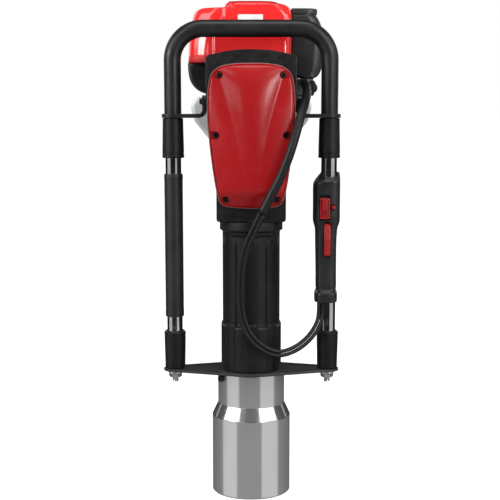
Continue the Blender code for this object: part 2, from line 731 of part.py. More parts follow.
def throttle_sections():
    """Centre x, half-width, centre y, half-depth and height of the grip's sections, from the bottom up."""
    low, high = THROTTLE_COLLAR_Z
    head, top = THROTTLE_HEAD_Z
    return [
        (115.5, 17.5, -2, 22.5, low), (115.5, 17.5, -2, 22.5, high), (115.8, 15.8, -1, 19.5, high + 3),
        (115.5, 15.8, -1, 18, 350), (115.0, 16.3, -1, 18.5, 395), (115.3, 17.5, -1, 20, head - 8),
        (THROTTLE_X, 20.7, -1, 21.5, head), (THROTTLE_X, 20.7, -1, 21.5, top - 8.5),
        (THROTTLE_X + 1, 18.7, 0, 19, top),
    ]


def build_throttle_grip():
    sections = [
        [(x, y, z) for x, y in superellipse((cx, cy), half_width, half_depth)]
        for cx, half_width, cy, half_depth, z in throttle_sections()
    ]
    grip = loft(sections)
    cut(grip, rod((FRAME_X, 0), ROD_R + 0.3, 290, 520, segments=20))
    for offset in (-LEAD_SPACING, LEAD_SPACING):
        cut(grip, rod((LEAD_ROUTE[0][0] + offset, LEAD_ROUTE[0][1]), LEAD_R + 0.7, 295, 316, segments=10))
    for x, (front, back), (low, high) in (
        (TRIGGER_PIVOT[0], (-40, -13.2), (372, 428.5)), (LOCKOUT_PIVOT[0], (13.6, 40), (366, 426)),
    ):
        cut(grip, box((x - SLOT_HALF_WIDTH, front, low), (x + SLOT_HALF_WIDTH, back, high)))
    x, z = SWITCH_CENTRE
    cut(grip, box((x - 8.3, -40, z - 17.8), (x + 8.3, -14.5, z + 20.8)))
    cut(grip, rod(BUTTON_CENTRE, 3.4, -40, -15, "Y", 16))
    node("throttle_grip", grip, "handle", "black_plastic")


def build_controls():
    x, y, z = TRIGGER_PIVOT
    side_view = [
        (y - 3, z + 3.5), (y + 1.8, z + 3.5), (y + 1.8, z - 6), (-20.5, z - 22), (-22, z - 44), (-25, z - 47),
        (-27.5, z - 44), (-27, z - 20), (-23.5, z - 4),
    ]
    trigger = prism(side_view, x - PADDLE_HALF_WIDTH, x + PADDLE_HALF_WIDTH, "X")
    node("throttle_trigger", trigger, "trigger", "red_satin")

    x, y, z = LOCKOUT_PIVOT
    side_view = [
        (y + 3, z + 3.5), (y - 4, z + 3.5), (y - 4, z - 6), (y + 2, z - 24), (y + 3.5, z - 48),
        (y + 6.5, z - 50), (y + 8, z - 46), (y + 6.5, z - 20),
    ]
    lockout = prism(side_view, x - PADDLE_HALF_WIDTH, x + PADDLE_HALF_WIDTH, "X")
    node("lockout_lever", lockout, "lockout", "black_plastic")

    x, z = SWITCH_CENTRE
    switch = prism(rounded_rectangle((x, z), 8, 16.2, 2.5, 3), -23.5, -14.9)
    join(switch, box((x - 4.5, -26, z - 3), (x + 4.5, -23, z + 3)))
    node("stop_switch", switch, "switch", "red_satin")
    profile = [(0, -25.5), (2.2, -25.5), (3, -24.5), (3, -18), (0, -18)]
    node("throttle_lock_button", turned(profile, BUTTON_CENTRE, "Y", 16), "button", "red_satin")


def beside_route(route, offset):
    """The route moved sideways, square to its run as seen from the front."""
    centre = smooth_through(route, 2)
    result = []
    for i, point in enumerate(centre):
        along = centre[min(i + 1, len(centre) - 1)] - centre[max(i - 1, 0)]
        sideways = Vector((-along.z, 0, along.x)).normalized()
        result.append(point + offset * sideways)
    return result


def cord(name, points, radius):
    curve = bpy.data.curves.new(name, "CURVE")
    curve.dimensions = "3D"
    curve.bevel_depth = radius * MM
    curve.bevel_resolution = 2
    curve.use_fill_caps = True
    spline = curve.splines.new("POLY")
    spline.points.add(len(points) - 1)
    for place, point in zip(spline.points, points):
        place.co = (*(Vector(point) * MM), 1)
    curve.materials.append(MATERIALS["black_rubber"])
    obj = bpy.data.objects.new(name, curve)
    obj.parent = BODIES["machine"]
    bpy.context.scene.collection.objects.link(obj)


def build_cables():
    cord("throttle_cable", beside_route(LEAD_ROUTE, -LEAD_SPACING), LEAD_R)
    cord("switch_lead", beside_route(LEAD_ROUTE, LEAD_SPACING), LEAD_R)
    cord("cable_conduit", smooth_through(CONDUIT_ROUTE, 2), CONDUIT_R)


# ---------------------------------------------------------------- engine


def build_clutch_housing():
    """A bell between the gear case and the engine, round the clutch in front and the flywheel behind."""
    front, step, back = HOUSING_Y
    profile = [
        (10, front), (38, front), (38, step), (48, step + 3), (48, back), (45, back), (45, step + 5),
        (34, step + 1), (34, front + 3.5), (10, front + 3.5),
    ]
    node("clutch_housing", turned(profile, (0, ENGINE_Z), "Y", 28), "machine", "cast_aluminium")


def build_engine_block():
    front, back = CRANKCASE_Y
    block = prism(rounded_rectangle((0, 640), 40, 50, 10, 3), front, back)
    join(block, rod((0, ENGINE_Z), 38, back - 3, STARTER_Y[0] - GAP, "Y", 28))
    chamber = rod((0, ENGINE_Z), 31, front + 6, back - 6, "Y", 20)
    shaft_bore = rod((0, ENGINE_Z), SHAFT_R + RUNNING, front - 5, back + 9, "Y", 24)
    middle_y = (front + back) / 2
    cylinder_bore = rod((0, middle_y), CYLINDER_BORE_R, ENGINE_Z, 700, segments=18)
    cut(block, chamber, shaft_bore, cylinder_bore)
    node("crankcase", block, "machine", "cast_aluminium")

    low, high = SHAFT_Y
    profile = [(0, low), (SHAFT_R, low), (SHAFT_R, high - 1), (SHAFT_R - 1, high), (0, high)]
    node("crankshaft", turned(profile, (0, ENGINE_Z), "Y", 24), "rotor", "steel")
    low, high = FLYWHEEL_Y
    profile = [
        (SHAFT_R + RUNNING, low), (14, low), (14, low + 6), (36, low + 6), (36, low), (42, low), (42, high),
        (36, high), (36, high - 8), (14, high - 8), (14, high), (SHAFT_R + RUNNING, high),
    ]
    node("flywheel", turned(profile, (0, ENGINE_Z), "Y", 24), "rotor", "cast_aluminium")

    base, top = CYLINDER_Z
    fins = 6
    pitch = (top - base) / fins
    side = [(24, base)]
    for fin in range(fins):
        z = base + fin * pitch + pitch * 0.35
        side += [(24, z), (34, z), (34, z + 2.4), (24, z + 2.4)]
    side += [(24, top)]
    outline = side + [(-x, z) for x, z in reversed(side)]
    cylinder = prism(outline, middle_y - 32, middle_y + 32)
    cut(cylinder, rod((0, middle_y), CYLINDER_BORE_R, base - 5, top - 12, segments=18))
    node("engine_cylinder", cylinder, "machine", "cast_aluminium")
    profile = [(0, top + GAP), (7, top + GAP), (7, top + 5), (5, top + 6), (5, top + 16), (0, top + 16)]
    node("spark_plug", turned(profile, (0, middle_y), segments=16), "machine", "steel")


def shroud_outline():
    """The shroud seen from the front: a low left shoulder, a higher middle and a sloping right side."""
    right = [(62.5, SHROUD_BOTTOM_Z), (62.5, 750), (59, 755), (42, 759.5), (36, 764)]
    left = [(-38, 764), (-42, 752)]
    shoulder = arc((-80, 740), 12, 90, 175, 4)
    return right + left + shoulder + [(-98, 697), (-99, SHROUD_BOTTOM_Z)]


def guard_outline():
    """The muffler's guard seen from the front: a bowl that is open on its right and at its top."""
    return [
        (-52, 668), (-99, 668), (-98.6, 657), (-96, 643), (-90, 632.5), (-81, 625), (-70, 621), (-59, 620),
        (-52, 620),
    ]


def build_engine_covers():
    front, back = SHROUD_Y
    outline = shroud_outline()
    shroud = prism(outline, front, back)
    inside = [(x, z if z > 680 else 660) for x, z in inset(outline, 2.5)]
    cut(shroud, prism(inside, front + 2.5, back - 2.5))
    node("engine_shroud", shroud, "machine", "red_gloss")

    wall = 2.5
    front, back = MUFFLER_Y
    muffler = prism(rounded_rectangle((-71, 668), 17, 36, 12, 3), front, back)
    join(muffler, rod((120, 700), 9, -62, -34.3, "X", 20))
    join(muffler, rod(EXHAUST, 6, back - 6, back + 7, "Y", 16))
    cut(muffler, rod(EXHAUST, 4, back - 2, back + 14, "Y", 16))
    node("muffler", muffler, "machine", "steel")
    front, back = GUARD_Y
    outline = guard_outline()
    guard = prism(outline, front, back)
    inside = [(x + 12 if x > -56 else x, z + 9 if z > 665 else z) for x, z in inset(outline, wall)]
    cut(guard, prism(inside, front + wall, back - wall), rod(EXHAUST, 8, back - 10, back + 10, "Y", 16))
    node("muffler_guard", guard, "machine", "black_plastic")


def build_air_and_fuel_system():
    outline = [
        (63, 655), (82, 645), (98, 645), (104, 648), (110, 656), (113, 668), (114, 690), (113, 712),
        (110, 725), (106, 735), (104, 741), (104, 752), (63, 752),
    ]
    wall = 2.5
    front, back = FILTER_COVER_Y
    cover = prism(outline, front, back)
    inside = [(50, 660)] + [(x, z) for x, z in inset(outline, wall) if x > 70] + [(50, 752 - wall)]
    cut(cover, prism(inside, front + wall, back - wall))
    node("air_filter_cover", cover, "machine", "black_plastic")
    filter_block = prism(rounded_rectangle((84, 700), 17, 38, 6, 3), 76, 142)
    cut(filter_block, rod((110, 700), 14, 60, 90, "X", 24))
    node("air_filter_element", filter_block, "machine", "gasket")

    body = box((42, 98, 640), (62, 136, SHROUD_BOTTOM_Z - 1))
    join(body, box((56, 78, 620), (98, 126, 644.6)))
    x, y, z = CARB_FERRULE
    join(body, rod((x, z), CONDUIT_R + 0.6, y, 82, "Y", 20))
    x, y, z = PRIMER_CENTRE
    cut(body, rod((y, z), 9.6, x - 4.5, x + 2, "X", 20))
    node("carburettor", body, "machine", "cast_aluminium")

    x, y, z = CHOKE_PIVOT
    outline = arc((x, z - 16), 3, 180, 360, 5) + arc((x, z), 5, 0, 180, 6)
    node("choke_lever", prism(outline, y - 2, y + 2), "choke", "black_plastic")
    x, y, z = PRIMER_CENTRE
    profile = [(0, x), (9, x), (9, x + 2), (7.5, x + 5.5), (4, x + 7.5), (0, x + 8)]
    node("primer_bulb", turned(profile, (y, z), "X", 24), "primer", "black_rubber")

    build_fuel_tank()


def build_fuel_tank():
    front, back = TANK_Y
    outline = mirrored([
        (0, 578), (54, 578), (60, 584), (62, 612), (66, 616), (86, 616), (94, 611), (96, 600), (90, 580),
        (70, 557), (62, 546), (54, 540), (0, 540),
    ])
    ease = 8
    tank = loft([
        [(x, front, z) for x, z in inset(outline, 4)], [(x, front + ease, z) for x, z in outline],
        [(x, back - ease, z) for x, z in outline], [(x, back, z) for x, z in inset(outline, 4)],
    ])
    neck = turned([(0, 612), (15, 612), (15, 628), (0, 628)], FILLER, segments=20)
    join(tank, neck)
    cut(tank, prism(inset(outline, 2.6), front + 8, back - 8), rod(FILLER, 12.5, 600, 640, segments=24))
    node("fuel_tank", tank, "machine", "tank_plastic")
    profile = [(0, 629), (0, 634), (16, 634), (19, 632), (19, 617), (16, 617), (16, 629)]
    node("fuel_cap", turned(profile, FILLER, segments=20), "fuel_cap", "black_plastic")


def build_recoil_starter():
    front, back = STARTER_Y
    wall = 2.5
    profile = [
        (STARTER_R - wall, front), (STARTER_R, front), (STARTER_R, back - 12), (STARTER_R - 6, back - 3),
        (STARTER_R - 14, back), (0, back), (0, back - 3), (STARTER_R - 16, back - 3),
        (STARTER_R - wall - 6, back - 6), (STARTER_R - wall, back - 13),
    ]
    cover = turned(profile, (0, ENGINE_Z), "Y", 32)
    join(cover, rod((ROPE_Y, ROPE_Z), 8, 52, STARTER_R, "X", 20))
    cut(cover, rod((ROPE_Y, ROPE_Z), 3, 30, STARTER_R + 5, "X", 16))
    node("starter_cover", cover, "machine", "black_plastic")

    grip = loft([
        [(x, y, z) for y, z in rounded_rectangle((ROPE_Y, ROPE_Z), half, 8, 4, 3)]
        for x, half in ((STARTER_R + 1, 9), (STARTER_R + 6, 11), (STARTER_R + 11, 21), (STARTER_R + 21, 22))
    ])
    join(grip, rod((ROPE_Y, ROPE_Z), 1.5, -46, STARTER_R + 5, "X", 10))
    node("starter_grip", grip, "starter_grip", "black_rubber")

    half_groove, half_width, rim_r, bore_r = 2.6, 7.0, 31.0, SHAFT_R + 2 * RUNNING
    profile = [
        (bore_r, -half_width), (rim_r, -half_width), (rim_r, -half_groove), (REEL_R, -half_groove),
        (REEL_R, half_groove), (rim_r, half_groove), (rim_r, half_width), (bore_r, half_width),
    ]
    reel = turned([(radius, ROPE_Y + y) for radius, y in profile], (0, ENGINE_Z), "Y", 24)
    node("starter_reel", reel, "reel", "black_plastic")


build_drive_sleeve()
build_lower_bracket()
build_barrel()
build_gear_case()
build_gear_cover()
build_crank_drive()
build_anvil()
build_clutch()
build_handle_frame()
build_dampers_and_brackets()
build_throttle_grip()
build_controls()
build_cables()
build_clutch_housing()
build_engine_block()
build_engine_covers()
build_air_and_fuel_system()
build_recoil_starter()
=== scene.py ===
"""The looks of a petrol post driver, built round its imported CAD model.

Lengths are millimetres in the machine's own frame: X to the right, Y to the back, Z up, with the barrel's
axis on X = Y = 0 and the drive sleeve's rim on Z = 0. place() and piece() turn them into the frame's metres.
"""

import math

import bmesh
import bpy
from mathutils import Matrix, Vector


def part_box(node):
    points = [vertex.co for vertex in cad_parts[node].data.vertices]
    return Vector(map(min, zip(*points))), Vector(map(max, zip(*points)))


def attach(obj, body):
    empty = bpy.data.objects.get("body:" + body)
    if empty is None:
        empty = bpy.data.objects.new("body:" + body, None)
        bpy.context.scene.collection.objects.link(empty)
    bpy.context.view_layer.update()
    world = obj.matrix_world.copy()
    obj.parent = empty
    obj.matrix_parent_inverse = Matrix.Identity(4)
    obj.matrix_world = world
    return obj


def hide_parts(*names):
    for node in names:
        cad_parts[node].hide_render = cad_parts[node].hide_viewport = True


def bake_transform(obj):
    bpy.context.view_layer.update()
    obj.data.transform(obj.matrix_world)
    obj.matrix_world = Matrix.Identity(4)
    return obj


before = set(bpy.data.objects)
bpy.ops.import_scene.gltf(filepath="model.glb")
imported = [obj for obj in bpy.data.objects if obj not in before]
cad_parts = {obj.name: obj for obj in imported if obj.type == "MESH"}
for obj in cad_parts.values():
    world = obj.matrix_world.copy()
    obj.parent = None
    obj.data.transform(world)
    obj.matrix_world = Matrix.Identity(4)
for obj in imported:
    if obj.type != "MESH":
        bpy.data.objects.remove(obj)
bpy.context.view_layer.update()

MM = 0.001
SLEEVE_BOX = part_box("drive_sleeve")
AXIS_Y = (SLEEVE_BOX[0].y + SLEEVE_BOX[1].y) / 2


def span(node):
    """A CAD node's lowest and highest corner, in the machine's millimetres."""
    return [(corner - Vector((0, AXIS_Y, 0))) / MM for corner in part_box(node)]


def place(x, y, z):
    """A point of the machine's millimetres, in the frame's metres."""
    return Vector((x, y, z)) * MM + Vector((0, AXIS_Y, 0))


TO_FRAME = Matrix.Translation((0, AXIS_Y, 0)) @ Matrix.Scale(MM, 4)

# ---------------------------------------------------------------- camera, floor and light

CAMERA_LENS = 86.4
CAMERA_PITCH = 9.5
CAMERA_PLACE = (0, -1846.3, 597.3)
CAMERA_SHIFT = (-0.0024, 0.12)


def build_camera():
    data = bpy.data.cameras.new("camera")
    data.lens = CAMERA_LENS
    data.sensor_width = 36
    data.shift_x, data.shift_y = CAMERA_SHIFT
    camera = bpy.data.objects.new("camera", data)
    camera.location = place(*CAMERA_PLACE)
    camera.rotation_euler = (math.radians(90 - CAMERA_PITCH), 0, 0)
    bpy.context.scene.collection.objects.link(camera)
    bpy.context.scene.camera = camera


def soft_light(name, bearings, heights, distance, radiance):
    """An upright soft box that spans two bearings, in degrees from the front towards the right, and two
    heights in metres. Its power follows from the brightness that a mirror would see in it."""
    start, end = [math.radians(bearing) for bearing in bearings]
    low, high = heights
    data = bpy.data.lights.new(name, "AREA")
    data.shape = "RECTANGLE"
    data.size = 2 * distance * math.tan((end - start) / 2)
    data.size_y = high - low
    data.energy = radiance * math.pi * data.size * data.size_y
    light = bpy.data.objects.new(name, data)
    turn = (start + end) / 2
    light.location = Vector((distance * math.sin(turn), -distance * math.cos(turn), (low + high) / 2))
    light.rotation_euler = (math.radians(90), 0, turn)
    light.visible_camera = False
    bpy.context.scene.collection.objects.link(light)
    return light


SOFT_LIGHT = 0.8
SOFT_LIGHT_BELOW = 0.4
FLOOR_REFLECTION = 0.38
ROOM_REFLECTION = 0.014
CEILING_REFLECTION = 0.09
PANELS = [  # name, bearings, heights, distance and brightness
    ("left_panel", (-90, -41), (-1.3, 1.1), 2.5, 0.48),
    ("right_panel", (30, 84), (-1.3, 1.1), 2.5, 0.48),
    ("left_high_panel", (-88, -38), (0.96, 2.3), 2.4, 2.6),
    ("right_high_panel", (28, 82), (0.96, 2.3), 2.4, 2.6),
    ("left_strip", (-66, -48), (0.76, 1.25), 2.35, 11),
    ("right_strip", (28, 40), (0.76, 1.25), 2.35, 11),
    ("left_fill", (-40, -18), (0.66, 1.2), 2.5, 2.2),
    ("right_fill", (17, 36), (0.66, 1.2), 2.5, 1.8),
    ("back_left_panel", (-168, -122), (0.5, 2.1), 2.6, 0.9),
    ("back_right_panel", (122, 168), (0.5, 2.1), 2.6, 0.9),
]
FRONT_PANELS = [("front_left", (-50, -22)), ("front_right", (22, 50))]
FRONT_PITCH = 48
TOP_PANEL_PLACE = (0, -0.55, 2.5)


def build_lights():
    for panel in PANELS:
        soft_light(*panel)
    for name, bearings in FRONT_PANELS:
        soft_light(name, bearings, (1.9, 2.7), 2.3, 3.5).rotation_euler.x = math.radians(FRONT_PITCH)
    top = soft_light("top_panel", (-45, 45), (-0.35, 0.35), 0.9, 4.5)
    top.location = Vector(TOP_PANEL_PLACE)
    top.rotation_euler = (0, 0, 0)
    build_world()


def build_world():
    """White for the camera and soft white as light. In reflections it is a dim room above and a pale floor
    below, brighter in front of the machine than behind it."""
    world = bpy.data.worlds.new("studio")
    world.use_nodes = True
    tree = world.node_tree
    tree.nodes.clear()
    towards = add_node(tree, "ShaderNodeTexCoord").outputs["Generated"]
    direction = add_node(tree, "ShaderNodeSeparateXYZ", Vector=towards).outputs
    below = mapped(tree, direction["Z"], -0.22, -0.19, FLOOR_REFLECTION, ROOM_REFLECTION)
    above = mapped(tree, direction["Z"], 0.2, 0.6, 0.0, CEILING_REFLECTION)
    behind = mapped(tree, direction["Y"], -0.4, 1.0, 1.0, 0.35)
    reflected = calculated(tree, "MULTIPLY", calculated(tree, "ADD", below, above), behind)
    soft = mapped(tree, direction["Z"], -0.5, 0.3, SOFT_LIGHT_BELOW, SOFT_LIGHT)
    path = add_node(tree, "ShaderNodeLightPath")
    seen = add_node(tree, "ShaderNodeBackground", Strength=soft).outputs[0]
    for ray, shade in (("Is Glossy Ray", reflected), ("Is Camera Ray", 1.0)):
        backdrop = add_node(tree, "ShaderNodeBackground", Color=(1, 1, 1, 1), Strength=shade)
        mix = add_node(tree, "ShaderNodeMixShader", Fac=path.outputs[ray])
        tree.links.new(seen, mix.inputs[1])
        tree.links.new(backdrop.outputs[0], mix.inputs[2])
        seen = mix.outputs[0]
    add_node(tree, "ShaderNodeOutputWorld", Surface=seen)
    bpy.context.scene.world = world
    bpy.context.scene.view_settings.view_transform = "Standard"


def build_floor():
    """A plain pale floor. The world stands in for it in reflections and in the light that bounces up."""
    bm = bmesh.new()
    bmesh.ops.create_grid(bm, x_segments=2, y_segments=2, size=60)
    mesh = bpy.data.meshes.new("floor")
    bm.to_mesh(mesh)
    bm.free()
    floor = bpy.data.objects.new("floor", mesh)
    floor.location = (0, 0, -0.0002)
    bpy.context.scene.collection.objects.link(floor)
    finish = Finish("floor", (0.3, 0.3, 0.3), 0.9)
    finish.vary_colour(finish.noise(3, 3), (0.28, 0.28, 0.28), (0.3, 0.3, 0.3))
    finish.shader.inputs["Emission Color"].default_value = (1, 1, 1, 1)
    finish.shader.inputs["Emission Strength"].default_value = 0.9
    floor.data.materials.append(finish.material)
    floor.visible_glossy = False
    floor.visible_diffuse = False


# ---------------------------------------------------------------- materials


def feed(tree, socket, value):
    """Links a socket to another node's output, or sets it to a constant."""
    if isinstance(value, bpy.types.NodeSocket):
        tree.links.new(value, socket)
    else:
        socket.default_value = value


def add_node(tree, kind, **inputs):
    """A new node; each keyword is an input, by its name with _ for a space."""
    made = tree.nodes.new(kind)
    for key, value in inputs.items():
        feed(tree, made.inputs[key.replace("_", " ")], value)
    return made


def calculated(tree, operation, first, second):
    made = tree.nodes.new("ShaderNodeMath")
    made.operation = operation
    feed(tree, made.inputs[0], first)
    feed(tree, made.inputs[1], second)
    return made.outputs[0]


def mapped(tree, value, low, high, new_low=0.0, new_high=1.0):
    return add_node(tree, "ShaderNodeMapRange", Value=value, From_Min=low, From_Max=high, To_Min=new_low,
                    To_Max=new_high).outputs["Result"]


NOISE_ROUGHNESS = 0.55


class Finish:
    """One procedural material: a Principled shader with nodes that vary its colour, roughness and relief."""

    def __init__(self, name, colour, roughness, metallic=0.0, **sockets):
        self.material = bpy.data.materials.new(name)
        self.material.use_nodes = True
        self.tree = self.material.node_tree
        self.shader = self.tree.nodes["Principled BSDF"]
        sockets.update(Base_Color=(*colour, 1), Roughness=roughness, Metallic=metallic)
        for socket, value in sockets.items():
            self.shader.inputs[socket.replace("_", " ")].default_value = value
        self.relief = None
        self.coordinates = self.tree.nodes.new("ShaderNodeTexCoord").outputs["Object"]

    def node(self, kind, **inputs):
        return add_node(self.tree, kind, **inputs)

    def noise(self, scale, detail=3.0, stretch=(1, 1, 1)):
        """Noise over the object's own metres; stretch multiplies how fast it runs along each axis."""
        mapping = self.node("ShaderNodeMapping", Vector=self.coordinates, Scale=stretch)
        return self.node("ShaderNodeTexNoise", Vector=mapping.outputs[0], Scale=scale, Detail=detail,
                         Roughness=NOISE_ROUGHNESS).outputs["Fac"]

    def remap(self, value, *limits):
        return mapped(self.tree, value, *limits)

    def product(self, first, second):
        return calculated(self.tree, "MULTIPLY", first, second)

    def edges(self, low=0.53, high=0.6):
        """1 along outer edges, broken up by noise, and 0 elsewhere."""
        pointed = self.node("ShaderNodeNewGeometry").outputs["Pointiness"]
        return self.product(self.remap(pointed, low, high), self.remap(self.noise(160, 5), 0.42, 0.62))

    def mixed(self, factor, first, second):
        made = self.tree.nodes.new("ShaderNodeMix")
        made.data_type = "RGBA"
        self.tree.links.new(factor, made.inputs["Factor"])
        for socket, value in zip([s for s in made.inputs if s.type == "RGBA"], (first, second)):
            feed(self.tree, socket, value if isinstance(value, bpy.types.NodeSocket) else (*value, 1))
        return [s for s in made.outputs if s.type == "RGBA"][0]

    def vary_colour(self, factor, first, second):
        """Colours the surface from first to second as the factor rises, on top of what is there."""
        socket = self.shader.inputs["Base Color"]
        if socket.is_linked and first is None:
            first = socket.links[0].from_socket
        self.tree.links.new(self.mixed(factor, first, second), socket)

    def vary_roughness(self, factor, low, high):
        self.tree.links.new(self.remap(factor, 0.3, 0.7, low, high), self.shader.inputs["Roughness"])

    def raise_relief(self, height, depth, strength=1.0):
        """Adds relief of a given depth in millimetres."""
        bump = self.node("ShaderNodeBump", Height=height, Strength=strength, Distance=depth * MM)
        if self.relief:
            self.tree.links.new(self.relief, bump.inputs["Normal"])
        self.relief = bump.outputs["Normal"]
        self.tree.links.new(self.relief, self.shader.inputs["Normal"])


def black_coat(name, colour, roughness, grain, grain_depth, specular):
    """Powder coat, cast skin or moulded plastic in black: fine grain, slow mottling, edges rubbed grey."""
    finish = Finish(name, colour, roughness, Specular_IOR_Level=specular)
    lighter = tuple(value * 1.5 + 0.0015 for value in colour)
    finish.vary_colour(finish.remap(finish.noise(22, 4), 0.35, 0.7), colour, lighter)
    finish.vary_colour(finish.product(finish.edges(), 0.35), None, (0.09, 0.09, 0.088))
    finish.vary_roughness(finish.noise(60, 5), roughness - 0.07, roughness + 0.1)
    finish.raise_relief(finish.noise(grain, 3), grain_depth, 0.6)
    finish.raise_relief(finish.noise(grain / 8, 2), grain_depth * 1.5, 0.25)
    return finish.material


def red_paint(name, colour, deep, roughness, coat, specular):
    """Red paint or plastic under a clear coat, with fine dust."""
    finish = Finish(name, colour, roughness, Coat_Weight=coat, Coat_Roughness=0.06, Specular_IOR_Level=specular)
    finish.vary_colour(finish.remap(finish.noise(9, 3), 0.3, 0.7), colour, deep)
    dust = finish.product(finish.remap(finish.noise(900, 2), 0.72, 0.8), 0.25)
    finish.vary_colour(dust, None, (0.5, 0.3, 0.28))
    finish.vary_roughness(finish.noise(35, 6), roughness - 0.04, roughness + 0.06)
    finish.raise_relief(finish.noise(700, 2), 0.02, 0.35)
    return finish.material


def metal(name, colour, roughness, grain, depth):
    """Bare or plated metal: slow mottling and a fine grain."""
    finish = Finish(name, colour, roughness, 1.0)
    darker = tuple(value * 0.78 for value in colour)
    finish.vary_colour(finish.remap(finish.noise(30, 5), 0.3, 0.72), colour, darker)
    finish.vary_roughness(finish.noise(grain / 6, 4), roughness - 0.05, roughness + 0.08)
    finish.raise_relief(finish.noise(grain, 3), depth, 0.5)
    return finish.material


def turned_steel():
    """Fine-turned steel: faint rings round the sleeve and a satin sheen over its reflections."""
    finish = Finish("turned_steel", (0.60, 0.60, 0.60), 0.13, 0.9)
    clouds = finish.remap(finish.noise(14, 5, (1, 1, 0.6)), 0.3, 0.7)
    finish.vary_colour(clouds, (0.62, 0.62, 0.62), (0.56, 0.56, 0.56))
    rings = finish.noise(260, 4, (0.02, 0.02, 5))
    finish.vary_colour(finish.product(finish.remap(rings, 0.55, 0.75), 0.12), None, (0.38, 0.38, 0.38))
    scratches = finish.remap(finish.noise(46, 6, (1, 1, 7)), 0.67, 0.73)
    finish.vary_colour(finish.product(scratches, 0.2), None, (0.3, 0.3, 0.3))
    finish.vary_roughness(rings, 0.10, 0.17)
    finish.raise_relief(finish.noise(90, 2), 0.01, 0.08)
    return finish.material


def tank_plastic():
    finish = Finish("tank_plastic", (0.78, 0.8, 0.79), 0.34, Subsurface_Weight=0.55, Transmission_Weight=0.12)
    finish.shader.inputs["Subsurface Radius"].default_value = (1, 1, 1)
    finish.shader.inputs["Subsurface Scale"].default_value = 0.008
    finish.vary_colour(finish.remap(finish.noise(26, 4), 0.35, 0.7), (0.8, 0.82, 0.81), (0.6, 0.63, 0.62))
    finish.vary_roughness(finish.noise(90, 4), 0.28, 0.42)
    finish.raise_relief(finish.noise(500, 3), 0.05, 0.4)
    return finish.material


def plain(name, colour, roughness):
    """A dull material with a fine tooth: fibre, foam, paper or ceramic."""
    finish = Finish(name, colour, roughness)
    finish.vary_colour(finish.remap(finish.noise(120, 4), 0.3, 0.7), colour, tuple(v * 0.75 for v in colour))
    finish.vary_roughness(finish.noise(200, 4), roughness - 0.06, roughness + 0.08)
    finish.raise_relief(finish.noise(900, 3), 0.03, 0.4)
    return finish.material


BLACKS = {  # colour, roughness, grain, its depth and the specular level
    "case_black": ((0.004, 0.004, 0.0043), 0.40, 900, 0.04, 0.27),
    "frame_black": ((0.007, 0.0072, 0.0072), 0.34, 1500, 0.02, 0.36),
    "grip_rubber": ((0.009, 0.009, 0.009), 0.40, 2200, 0.05, 0.4),
    "damper_rubber": ((0.004, 0.004, 0.004), 0.42, 1100, 0.03, 0.26),
    "cable_black": ((0.004, 0.004, 0.0042), 0.42, 1800, 0.02, 0.32),
    "grip_plastic": ((0.008, 0.008, 0.0082), 0.38, 1500, 0.05, 0.4),
    "screw_black": ((0.004, 0.004, 0.004), 0.32, 600, 0.01, 0.3),
    "filter_plastic": ((0.014, 0.014, 0.0142), 0.36, 1500, 0.05, 0.5),
    # a lighter copy of frame_black for the bracket plate: painted light standing in for its lit top face
    "plate_black_painted_lit": ((0.018, 0.018, 0.0182), 0.32, 1500, 0.02, 0.5),
}
REDS = {  # colour, its deeper shade, roughness, clear coat and specular level
    "cover_red": ((0.30, 0.005, 0.007), (0.265, 0.004, 0.006), 0.25, 0.05, 0.32),
    "shroud_red": ((0.86, 0.018, 0.018), (0.76, 0.016, 0.016), 0.20, 0.9, 0.6),
    "control_red": ((0.30, 0.006, 0.008), (0.24, 0.005, 0.007), 0.36, 0.1, 0.4),
}
METALS = {  # colour, roughness, grain and its depth
    "rod_chrome": ((0.86, 0.86, 0.87), 0.06, 500, 0.002),
    "plain_steel": ((0.5, 0.5, 0.49), 0.3, 400, 0.02),
    "zinc": ((0.72, 0.72, 0.71), 0.2, 300, 0.02),
    "cast_metal": ((0.42, 0.42, 0.42), 0.48, 700, 0.12),
    "muffler_steel": ((0.36, 0.33, 0.3), 0.42, 300, 0.03),
}
PLAINS = {  # colour and roughness
    "gasket_fibre": ((0.2, 0.155, 0.155), 0.6),
    "filter_foam": ((0.05, 0.05, 0.05), 0.95),
    "label_pale": ((0.85, 0.85, 0.84), 0.4),
    "ignition_white": ((0.8, 0.8, 0.78), 0.25),
}
MATERIALS = {"sleeve_steel": turned_steel(), "tank_white": tank_plastic()}
for maker, rows in ((black_coat, BLACKS), (red_paint, REDS), (metal, METALS), (plain, PLAINS)):
    MATERIALS.update({name: maker(name, *row) for name, row in rows.items()})

# ---------------------------------------------------------------- solids


def object_from(bm):
    bmesh.ops.recalc_face_normals(bm, faces=bm.faces)
    mesh = bpy.data.meshes.new("solid")
    bm.to_mesh(mesh)
    bm.free()
    obj = bpy.data.objects.new("solid", mesh)
    bpy.context.scene.collection.objects.link(obj)
    return obj


def skin(rings, closed=False, foot=True):
    """Quads through rings of points, each ring a closed loop with the same number of points. closed joins
    the last ring to the first; otherwise the ends are filled, and foot says whether the first one is."""
    bm = bmesh.new()
    loops = [[bm.verts.new(point) for point in points] for points in rings]
    follow = loops[1:] + loops[:1] if closed else loops[1:]
    for first, second in zip(loops, follow):
        for i in range(len(first)):
            bm.faces.new((first[i - 1], first[i], second[i], second[i - 1]))
    if not closed:
        bm.faces.new(loops[-1])
        if foot:
            bm.faces.new(loops[0][::-1])
    return object_from(bm)


def polar(centre, radius, turn):
    return centre[0] + radius * math.cos(turn), centre[1] + radius * math.sin(turn)


def along(axis, u, v, height):
    """A point at u, v of a section square to an axis, at a height along it."""
    return {"X": (height, u, v), "Y": (u, height, v), "Z": (u, v, height)}[axis]


